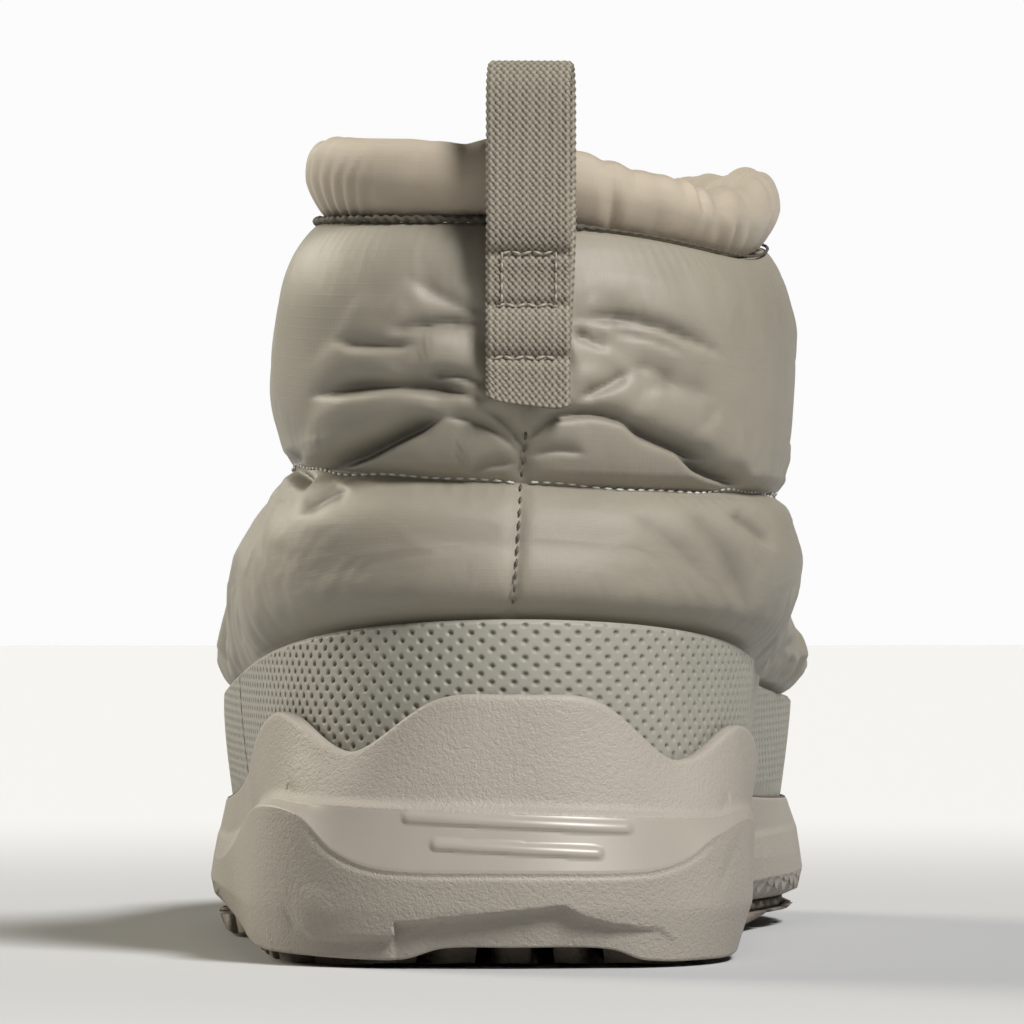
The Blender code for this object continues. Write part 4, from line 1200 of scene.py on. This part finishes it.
def make_loop(material):
    """Woven pull loop: a flat strip with plaited threads on both faces, dipping at its stitch rows."""
    steps = LOOP_STEPS
    at, centre, out = loop_samples(steps + 1)
    face = np.linspace(-1.0, 1.0, LOOP_COLUMNS)
    across = np.concatenate((face, face[::-1]))
    through = np.repeat((1.0, -1.0), LOOP_COLUMNS)
    around = len(across)
    bars = [bar.z for bar in LOOP_BARS]

    def place(along, up):
        index = grid_line(along, steps)
        row = grid_line(up, around) % around
        side = across[row] * LOOP_WIDTH / 2
        edge = 1 - ease(np.abs(across[row]), 0.93, 1.0)
        relief = weave_height(side + LOOP_WIDTH / 2, at[index]) * edge
        dip = sum(np.exp(-(((centre[index, 2] - z) / 0.0011) ** 2)) for z in bars)
        bulge = np.exp(-(((centre[index, 2] - LOOP_BULGE_HEIGHT) / 0.0035) ** 2))
        sunk = (LOOP_DIP * dip - LOOP_BULGE * bulge) * (through[row] > 0) * (index < steps / 2)
        half = (LOOP_THICKNESS / 2 - WEAVE_DEPTH) * blend(0.45, 1.0, edge) + relief
        points = centre[index] + out[index] * (through[row] * half - sunk)[:, None]
        points[:, 0] += side * (1 + 0.014 * np.sin(math.pi * at[index] / WEAVE_ROW))
        at_end = 1 - ease(centre[index, 2], LOOP_BOTTOM, 0.112)
        points[:, 2] += (0.0010 * np.abs(across[row]) ** 5 - 0.0009 * across[row]) * at_end
        return points

    # Painted shade: how far down between the webbing's beads a place lies, which darkens its colour there
    def painted_thread_shade(along, up):
        index = grid_line(along, steps)
        row = grid_line(up, around) % around
        return 1 - weave_height((across[row] + 1) * LOOP_WIDTH / 2, at[index]) / WEAVE_DEPTH

    shape = grid_sheet(steps, around, place, painted_thread_shade)
    weld(shape)
    close_ends(shape)
    add_piece("loop_webbing", shape, [material], ["pull_loop"], (at[-1], 0.034))


def stitch_row(name, spots, outward, stitch, material):
    """Short rounded stitches laid end to end along a row of spots."""
    length, width = stitch.length, stitch.width
    outs = np.broadcast_to(outward, spots.shape)
    shape = bmesh.new()
    for index in range(len(spots) - 1):
        run = spots[index + 1] - spots[index]
        if np.linalg.norm(run) < 1e-6 or np.linalg.norm(run) > 3 * length:
            continue
        along = unit(run)
        out = unit(outs[index] - along * (outs[index] @ along))
        side = np.cross(out, along)
        turned = Matrix(np.column_stack((along, side, out)).tolist()).to_4x4()
        size = Matrix.Diagonal((length / 2, width / 2, width / 2.6, 1.0))
        middle = Matrix.Translation(Vector((spots[index] + spots[index + 1]) / 2))
        bmesh.ops.create_icosphere(shape, subdivisions=1, radius=1.0, matrix=middle @ turned @ size)
    add_piece(name, shape, [material])


def spaced_turns(level, first, last, pitch):
    """Turns between two ends, spaced evenly along one seam."""
    turns = np.linspace(first, last, 4000)
    runs = runs_along(seam_surface(level + 0 * turns, turns))
    return np.interp(np.arange(0.0, runs[-1], pitch), runs, turns)


def make_stitches(pale, dark, webbing_thread):
    """Seam stitches of the upper, the cup's edge and the loop."""
    for seam in SEAM_ROWS:
        turn = spaced_turns(seam.level, seam.first, seam.last, SEAM_STITCH.pitch)
        run = arc_at(turn, ARC_LENGTH)
        sewn = seam.level + (0.45 * np.sin(run / 8.0) + 0.3 * np.sin(run / 3.3)) / LEVEL_HEIGHT
        spots = upper_skin(sewn, turn, 0.0003)
        stitch_row(seam.name, spots, seam_normal(seam.level + 0 * turn, turn), SEAM_STITCH, pale)
    heights = np.arange(*BACK_STITCH_HEIGHTS, BACK_STITCH.pitch)
    levels = np.linspace(RAND_TOP, COLLAR_SEAM, 400)
    skin = upper_skin(levels, 0 * levels)
    back = np.interp(heights, skin[:, 2], skin[:, 1]) + 0.0006
    spots = np.stack((back_seam_x(heights), back, heights), axis=-1)
    stitch_row("back_seam_stitches", spots, BACKWARD, BACK_STITCH, dark)
    turn = spaced_turns(RAND_TOP, 0.20, 0.80, CUP_STITCH.pitch)
    spots = cup_inner_wall(turn, 1.0, cup_rim(turn) / 2)
    spots[:, 2] += 0.0001
    stitch_row("cup_edge_stitches", spots, UPWARD, CUP_STITCH, dark)
    outer_layer = loop_samples(841)[1][:300]
    for row, bar in enumerate(LOOP_BARS):
        x = np.arange(bar.left, bar.right, BAR_STITCH.pitch)
        tilt = np.where(np.arange(len(x)) % 2 > 0, 0.0003, -0.0003)
        y = np.interp(bar.z, outer_layer[:, 2], outer_layer[:, 1]) - LOOP_THICKNESS / 2 + LOOP_DIP - 0.0003
        spots = np.stack((x, np.full(len(x), y), bar.z + tilt), axis=-1)
        stitch_row(f"loop_stitches_{row}", spots, BACKWARD, BAR_STITCH, webbing_thread)
    for name, x in LOOP_EDGE_STITCHES:
        z = np.arange(*LOOP_EDGE_HEIGHTS, EDGE_STITCH.pitch)
        y = np.interp(z, outer_layer[:, 2], outer_layer[:, 1]) - LOOP_THICKNESS / 2 - 0.0001
        spots = np.stack((np.full(len(z), x), y, z), axis=-1)
        stitch_row(f"loop_stitches_{name}", spots, BACKWARD, EDGE_STITCH, webbing_thread)


def tread_share(y):
    """Share of the tread outline's length at places along the boot."""
    return (y - TREAD_OUTLINE.back) / (TREAD_OUTLINE.front - TREAD_OUTLINE.back)


def tread_middle(y):
    """Where the tread's middle line lies across the boot."""
    return TREAD_OUTLINE.swing * ease(tread_share(y), 0.0, 1.0)


def tread_across(point):
    """Where a point lies across the tread: -1 at its outer edge, 1 at its inner edge."""
    across = point.x - float(tread_middle(point.y))
    reach = float(half_width(TREAD_OUTLINE, tread_share(point.y), across < 0))
    return across / max(reach, GROOVE_HALF)


def make_tread(material):
    """Rubber tread: a thin plate with a bevelled lug standing down from every cell of its grid."""

    def place(across, up):
        side = across * 2 - 1
        spread = 1 - np.abs(2 * up - 1) ** 6
        y = blend(TREAD_BACK, TREAD_FRONT, up) - TREAD_CHEVRON * (np.abs(side) - 0.5) * spread
        x = tread_middle(y) + side * half_width(TREAD_OUTLINE, tread_share(y), side < 0)
        return np.stack((x, y, LUG_DEPTH + ground_lift(y)), axis=-1)

    shape = grid_sheet(TREAD_COLUMNS, TREAD_ROWS, place)
    lugs = list(shape.faces)
    plate = bmesh.ops.extrude_face_region(shape, geom=lugs, use_keep_orig=True)["geom"]
    for vertex in (item for item in plate if isinstance(item, bmesh.types.BMVert)):
        vertex.co.z = TREAD_TOP - FIT_GAP + float(ground_lift(vertex.co.y))
    bmesh.ops.inset_individual(shape, faces=lugs, thickness=GROOVE_HALF, use_even_offset=True)
    for vertex in {corner for lug in lugs for corner in lug.verts}:
        across = tread_across(vertex.co)
        if abs(across) > EDGE_LUG_START:
            out = GROOVE_HALF - FIT_GAP + LUG_REACH * float(ease(vertex.co.y, *FOREFOOT_START))
            vertex.co.x += math.copysign(out, across)
    faces = bmesh.ops.extrude_discrete_faces(shape, faces=lugs)["faces"]
    for lug in faces:
        centre = lug.calc_center_median()
        for vertex in lug.verts:
            drawn_in = (centre - vertex.co).normalized() * LUG_TAPER
            vertex.co += Vector((drawn_in.x, drawn_in.y, 0.0))
            roll = ease(abs(tread_across(vertex.co)), *EDGE_ROLL_BAND) * ease(vertex.co.y, *EDGE_ROLL_RUN)
            vertex.co.z = float(ground_lift(vertex.co.y) + EDGE_ROLL * roll)
    sipes = bmesh.ops.inset_individual(shape, faces=faces, thickness=SIPE_INSET, use_even_offset=True)
    for lug in faces:
        bmesh.ops.translate(shape, verts=lug.verts, vec=Vector((0, 0, SIPE_DEPTH)))
    edges = list(dict.fromkeys(edge for lug in sipes["faces"] for edge in lug.edges))
    bmesh.ops.bevel(
        shape, geom=edges, offset=LUG_BEVEL, segments=2, profile=0.5, affect="EDGES", material=-1,
        clamp_overlap=True,
    )
    add_piece("tread_lugs", shape, [material], ["outsole"])


def add_node(tree, kind, inputs=(), **settings):
    """A shader node with its settings, each input a plain value or another node's output."""
    node = tree.nodes.new(kind)
    for name, value in settings.items():
        setattr(node, name, value)
    for socket, value in dict(inputs).items():
        if isinstance(value, bpy.types.NodeSocket):
            tree.links.new(value, node.inputs[socket])
        else:
            node.inputs[socket].default_value = value
    return node


def math_node(tree, operation, first, second=0.0, third=0.0):
    """Output of a maths node between values or other nodes' outputs."""
    node = add_node(tree, "ShaderNodeMath", enumerate((first, second, third)), operation=operation)
    return node.outputs[0]


def scaled_colour(tree, colour, factor):
    """Output of a colour made lighter or darker by a factor."""
    node = add_node(tree, "ShaderNodeVectorMath", {0: colour, "Scale": factor}, operation="SCALE")
    return node.outputs[0]


def new_group(name, inputs, outputs):
    """An empty shader group with named sockets, and its two end nodes."""
    group = bpy.data.node_groups.new(name, "ShaderNodeTree")
    for socket, kind in inputs:
        group.interface.new_socket(socket, in_out="INPUT", socket_type=kind)
    for socket, kind in outputs:
        group.interface.new_socket(socket, in_out="OUTPUT", socket_type=kind)
    return group, group.nodes.new("NodeGroupInput").outputs, group.nodes.new("NodeGroupOutput").inputs


def mottle_group():
    """Uneven dye and handling: a colour that drifts lighter and darker over the surface."""
    group, given, result = new_group(
        "mottle",
        (("Vector", "NodeSocketVector"), ("Colour", "NodeSocketColor"), ("Scale", "NodeSocketFloat"),
         ("Amount", "NodeSocketFloat")),
        (("Colour", "NodeSocketColor"),),
    )
    clouds = {"Vector": given["Vector"], "Scale": given["Scale"], "Detail": 4.0}
    cloud = add_node(group, "ShaderNodeTexNoise", clouds)
    drift = math_node(group, "SUBTRACT", cloud.outputs["Fac"], 0.5)
    factor = math_node(group, "MULTIPLY_ADD", drift, given["Amount"], 1.0)
    group.links.new(scaled_colour(group, given["Colour"], factor), result["Colour"])
    return group


def cloth_group():
    """Fine plain weave with thicker ripstop threads, on a UV map in millimetres."""
    group, given, result = new_group(
        "woven_cloth",
        (("Vector", "NodeSocketVector"), ("Thread", "NodeSocketFloat"), ("Ripstop", "NodeSocketFloat")),
        (("Height", "NodeSocketFloat"),),
    )
    parts = add_node(group, "ShaderNodeSeparateXYZ", {"Vector": given["Vector"]})
    threads, lines = [], []
    for axis in ("X", "Y"):
        turns = math_node(group, "DIVIDE", parts.outputs[axis], given["Thread"])
        threads.append(math_node(group, "SINE", math_node(group, "MULTIPLY", turns, math.tau)))
        cell = math_node(group, "FRACT", math_node(group, "DIVIDE", parts.outputs[axis], given["Ripstop"]))
        from_line = math_node(group, "ABSOLUTE", math_node(group, "SUBTRACT", cell, 0.5))
        lines.append(math_node(group, "LESS_THAN", from_line, 0.07))
    weave = math_node(group, "MULTIPLY", threads[0], threads[1])
    ripstop = math_node(group, "MAXIMUM", lines[0], lines[1])
    group.links.new(math_node(group, "MULTIPLY_ADD", ripstop, 1.2, weave), result["Height"])
    return group


def pebble_group():
    """Leather-like grain of moulded foam and rubber."""
    group, given, result = new_group(
        "pebble_grain",
        (("Vector", "NodeSocketVector"), ("Scale", "NodeSocketFloat")),
        (("Height", "NodeSocketFloat"),),
    )
    bends = {"Vector": given["Vector"], "Scale": given["Scale"], "Detail": 2.0}
    bend = add_node(group, "ShaderNodeTexNoise", bends)
    shifts = {"Fac": 0.002, "Color1": given["Vector"], "Color2": bend.outputs["Color"]}
    moved = add_node(group, "ShaderNodeMixRGB", shifts)
    pebbles = {"Vector": moved.outputs[0], "Scale": given["Scale"], "Smoothness": 0.6}
    cells = add_node(group, "ShaderNodeTexVoronoi", pebbles, feature="SMOOTH_F1")
    height = math_node(group, "SUBTRACT", 1.0, math_node(group, "POWER", cells.outputs["Distance"], 1.5))
    group.links.new(height, result["Height"])
    return group


def shader_material(name, colour, roughness):
    """A material with a Principled shader and plain values on its sockets."""
    material = bpy.data.materials.new(name)
    material.use_nodes = True
    shader = material.node_tree.nodes["Principled BSDF"]
    shader.inputs["Base Color"].default_value = (*colour, 1.0)
    shader.inputs["Roughness"].default_value = roughness
    if name in SHEEN:
        socket, value = SHEEN[name]
        shader.inputs[socket].default_value = value
    return material


def mottled_material(finish, groups, amount):
    """A material with an uneven colour, with its tree, its shader and its coordinates."""
    material = shader_material(finish.name, finish.colour, finish.roughness)
    tree = material.node_tree
    shader = tree.nodes["Principled BSDF"]
    coordinates = add_node(tree, "ShaderNodeTexCoord")
    drifts = {"Vector": coordinates.outputs["Object"], "Colour": (*finish.colour, 1.0)}
    drifts.update({"Scale": MOTTLE_SCALE, "Amount": amount})
    drift = add_node(tree, "ShaderNodeGroup", drifts, node_tree=groups["mottle"])
    tree.links.new(drift.outputs["Colour"], shader.inputs["Base Color"])
    return material, tree, shader, coordinates.outputs


def bump_on(tree, shader, height, strength, distance):
    """Raises a shader's surface by a height."""
    bump = add_node(tree, "ShaderNodeBump", {"Height": height, "Strength": strength, "Distance": distance})
    tree.links.new(bump.outputs["Normal"], shader.inputs["Normal"])


def cloth_material(cloth, groups):
    """Woven cloth with uneven dye and its thread grid raised a little."""
    material, tree, shader, coordinates = mottled_material(cloth, groups, CLOTH_MOTTLE)
    threads = {"Vector": coordinates["UV"], "Thread": cloth.thread, "Ripstop": cloth.ripstop}
    weave = add_node(tree, "ShaderNodeGroup", threads, node_tree=groups["cloth"])
    bump_on(tree, shader, weave.outputs["Height"], 0.5, cloth.relief)
    return material


def grain_material(grain, groups):
    """Moulded foam, film, rubber or brushed cloth with a pebbled grain."""
    material, tree, shader, coordinates = mottled_material(grain, groups, GRAIN_MOTTLE)
    size = {"Vector": coordinates["Object"], "Scale": grain.scale}
    pebbles = add_node(tree, "ShaderNodeGroup", size, node_tree=groups["pebble"])
    bump_on(tree, shader, pebbles.outputs["Height"], 0.6, grain.relief)
    return material


def paint_shade_in_marks(material, amount):
    """Paints shade into a material's colour where its mesh is marked: in the film's dimples, the nylon's folds
    and between the webbing's threads.
    """
    tree = material.node_tree
    shader = tree.nodes["Principled BSDF"]
    mark = add_node(tree, "ShaderNodeAttribute", attribute_name="mark")
    kept = math_node(tree, "MULTIPLY_ADD", mark.outputs["Fac"], -amount, 1.0)
    plain = shader.inputs["Base Color"].links[0].from_socket
    tree.links.new(scaled_colour(tree, plain, kept), shader.inputs["Base Color"])


def smooth_marks(material, groups):
    """Takes the grain off a material where its mesh is marked, and makes it shinier there."""
    tree = material.node_tree
    shader = tree.nodes["Principled BSDF"]
    mark = add_node(tree, "ShaderNodeAttribute", attribute_name="mark")
    shine = {"Value": mark.outputs["Fac"], "To Min": FOAM_ROUGH, "To Max": FOAM_SMOOTH}
    rough = add_node(tree, "ShaderNodeMapRange", shine)
    tree.links.new(rough.outputs[0], shader.inputs["Roughness"])
    grain = next(node for node in tree.nodes if node.type == "GROUP" and node.node_tree == groups["pebble"])
    bump = next(node for node in tree.nodes if node.type == "BUMP")
    kept = math_node(tree, "SUBTRACT", 1.0, mark.outputs["Fac"])
    tree.links.new(math_node(tree, "MULTIPLY", grain.outputs["Height"], kept), bump.inputs["Height"])


def make_finishes():
    """Every material of the boot by its name."""
    groups = {"mottle": mottle_group(), "cloth": cloth_group(), "pebble": pebble_group()}
    finishes = {cloth.name: cloth_material(cloth, groups) for cloth in CLOTHS}
    finishes.update({grain.name: grain_material(grain, groups) for grain in GRAINS})
    # Painted shade in the film's dimples, the nylon's folds and between the webbing's threads
    for name, amount in PAINTED_SHADE_AMOUNTS.items():
        paint_shade_in_marks(finishes[name], amount)
    smooth_marks(finishes["pebbled_foam"], groups)
    return finishes


def make_floor():
    """Pale floor with a painted shadow: its colour is darker near the boot."""
    shape = bmesh.new()
    bmesh.ops.create_grid(shape, x_segments=2, y_segments=2, size=6.0)
    mesh = bpy.data.meshes.new("floor")
    shape.to_mesh(mesh)
    shape.free()
    pale = shader_material("pale_floor", (0.80, 0.80, 0.80), 0.9)
    tree = pale.node_tree
    reach = add_node(tree, "ShaderNodeVectorMath", operation="LENGTH")
    tree.links.new(add_node(tree, "ShaderNodeTexCoord").outputs["Object"], reach.inputs[0])
    fade = {"Value": reach.outputs["Value"], "To Min": FLOOR_SHADOW_TONE, "To Max": FLOOR_FAR}
    fade.update({"From Min": FLOOR_SHADOW_FADE[0], "From Max": FLOOR_SHADOW_FADE[1]})
    tone = add_node(tree, "ShaderNodeMapRange", fade, interpolation_type="SMOOTHSTEP")
    tree.links.new(tone.outputs[0], tree.nodes["Principled BSDF"].inputs["Base Color"])
    mesh.materials.append(pale)
    floor = show("floor", mesh)


def make_light():
    """A white backdrop ahead, a dim room round it and two soft suns."""
    world = bpy.data.worlds.new("studio")
    world.use_nodes = True
    tree = world.node_tree
    direction = add_node(tree, "ShaderNodeTexCoord").outputs["Generated"]
    where = add_node(tree, "ShaderNodeSeparateXYZ", {"Vector": direction}).outputs
    sides = {"Value": where["X"], "To Min": LEFT_GLOW, "To Max": RIGHT_GLOW}
    sides.update({"From Min": -0.7, "From Max": 0.7})
    ahead = {"Value": where["Y"], "From Min": 0.90, "From Max": 0.97, "To Max": BACKDROP_GLOW}
    room = add_node(tree, "ShaderNodeMapRange", sides)
    backdrop = add_node(tree, "ShaderNodeMapRange", ahead)
    glow = math_node(tree, "MAXIMUM", room.outputs[0], backdrop.outputs[0])
    tree.nodes["Background"].inputs["Color"].default_value = (1.0, 1.0, 1.0, 1.0)
    tree.links.new(glow, tree.nodes["Background"].inputs["Strength"])
    bpy.context.scene.world = world
    for sun in SUNS:
        light = bpy.data.lights.new(sun.name, "SUN")
        light.energy = sun.strength
        light.angle = sun.softness
        light.color = sun.colour
        holder = show(sun.name, light)
        holder.location = sun.stand
        holder.rotation_euler = (-Vector(sun.stand)).to_track_quat("-Z", "Y").to_euler()


def make_camera():
    """The camera behind the heel, at the photograph's angle."""
    camera = bpy.data.cameras.new("camera")
    camera.sensor_width = CAMERA_SENSOR
    camera.lens = CAMERA_LENS
    holder = show("camera", camera)
    stand = Vector(CAMERA_STAND) + Vector(FRAME_SHIFT)
    aim = Vector(CAMERA_AIM) + Vector(FRAME_SHIFT)
    holder.location = stand
    holder.rotation_euler = (aim - stand).to_track_quat("-Z", "Y").to_euler()
    bpy.context.scene.camera = holder
    bpy.context.scene.view_settings.view_transform = "Standard"


def main():
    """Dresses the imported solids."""
    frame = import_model()
    make_floor()
    make_light()
    make_camera()
    finishes = make_finishes()
    film = finishes["moulded_film"]
    make_upper(finishes["nylon"], finishes["lining"])
    heel_ends = (COUNTER_INNER_END - 1.0, COUNTER_OUTER_END)
    make_film("counter_film", "heel_counter", *heel_ends, COUNTER_COLUMNS, COUNTER_ROWS, film)
    toe_ends = (COUNTER_OUTER_END, COUNTER_INNER_END)
    make_film("rand_film", "toe_rand", *toe_ends, RAND_COLUMNS, RAND_ROWS, film)
    make_midsole(finishes["pebbled_foam"])
    make_cuff(finishes["cuff_nylon"])
    make_overlock(finishes["binding"])
    make_loop(finishes["webbing"])
    make_stitches(finishes["pale_thread"], finishes["dark_thread"], finishes["webbing_thread"])
    make_tread(finishes["tread_rubber"])
    insole = frame["nodes"]["insole"]
    insole.data.materials.clear()
    insole.data.materials.append(finishes["insole_cloth"])


ARC_TURN = np.linspace(0.0, 1.0, 2001)
ARC_LENGTH = run_lengths(MAIN_SEAM)
CUFF_ARC = run_lengths(COLLAR_SEAM)
FILM_ARC = run_lengths(DIMPLE_LEVEL)
TREAD_OUTLINE = inset(CUP_SECTIONS[0], TREAD_INSET)

main()
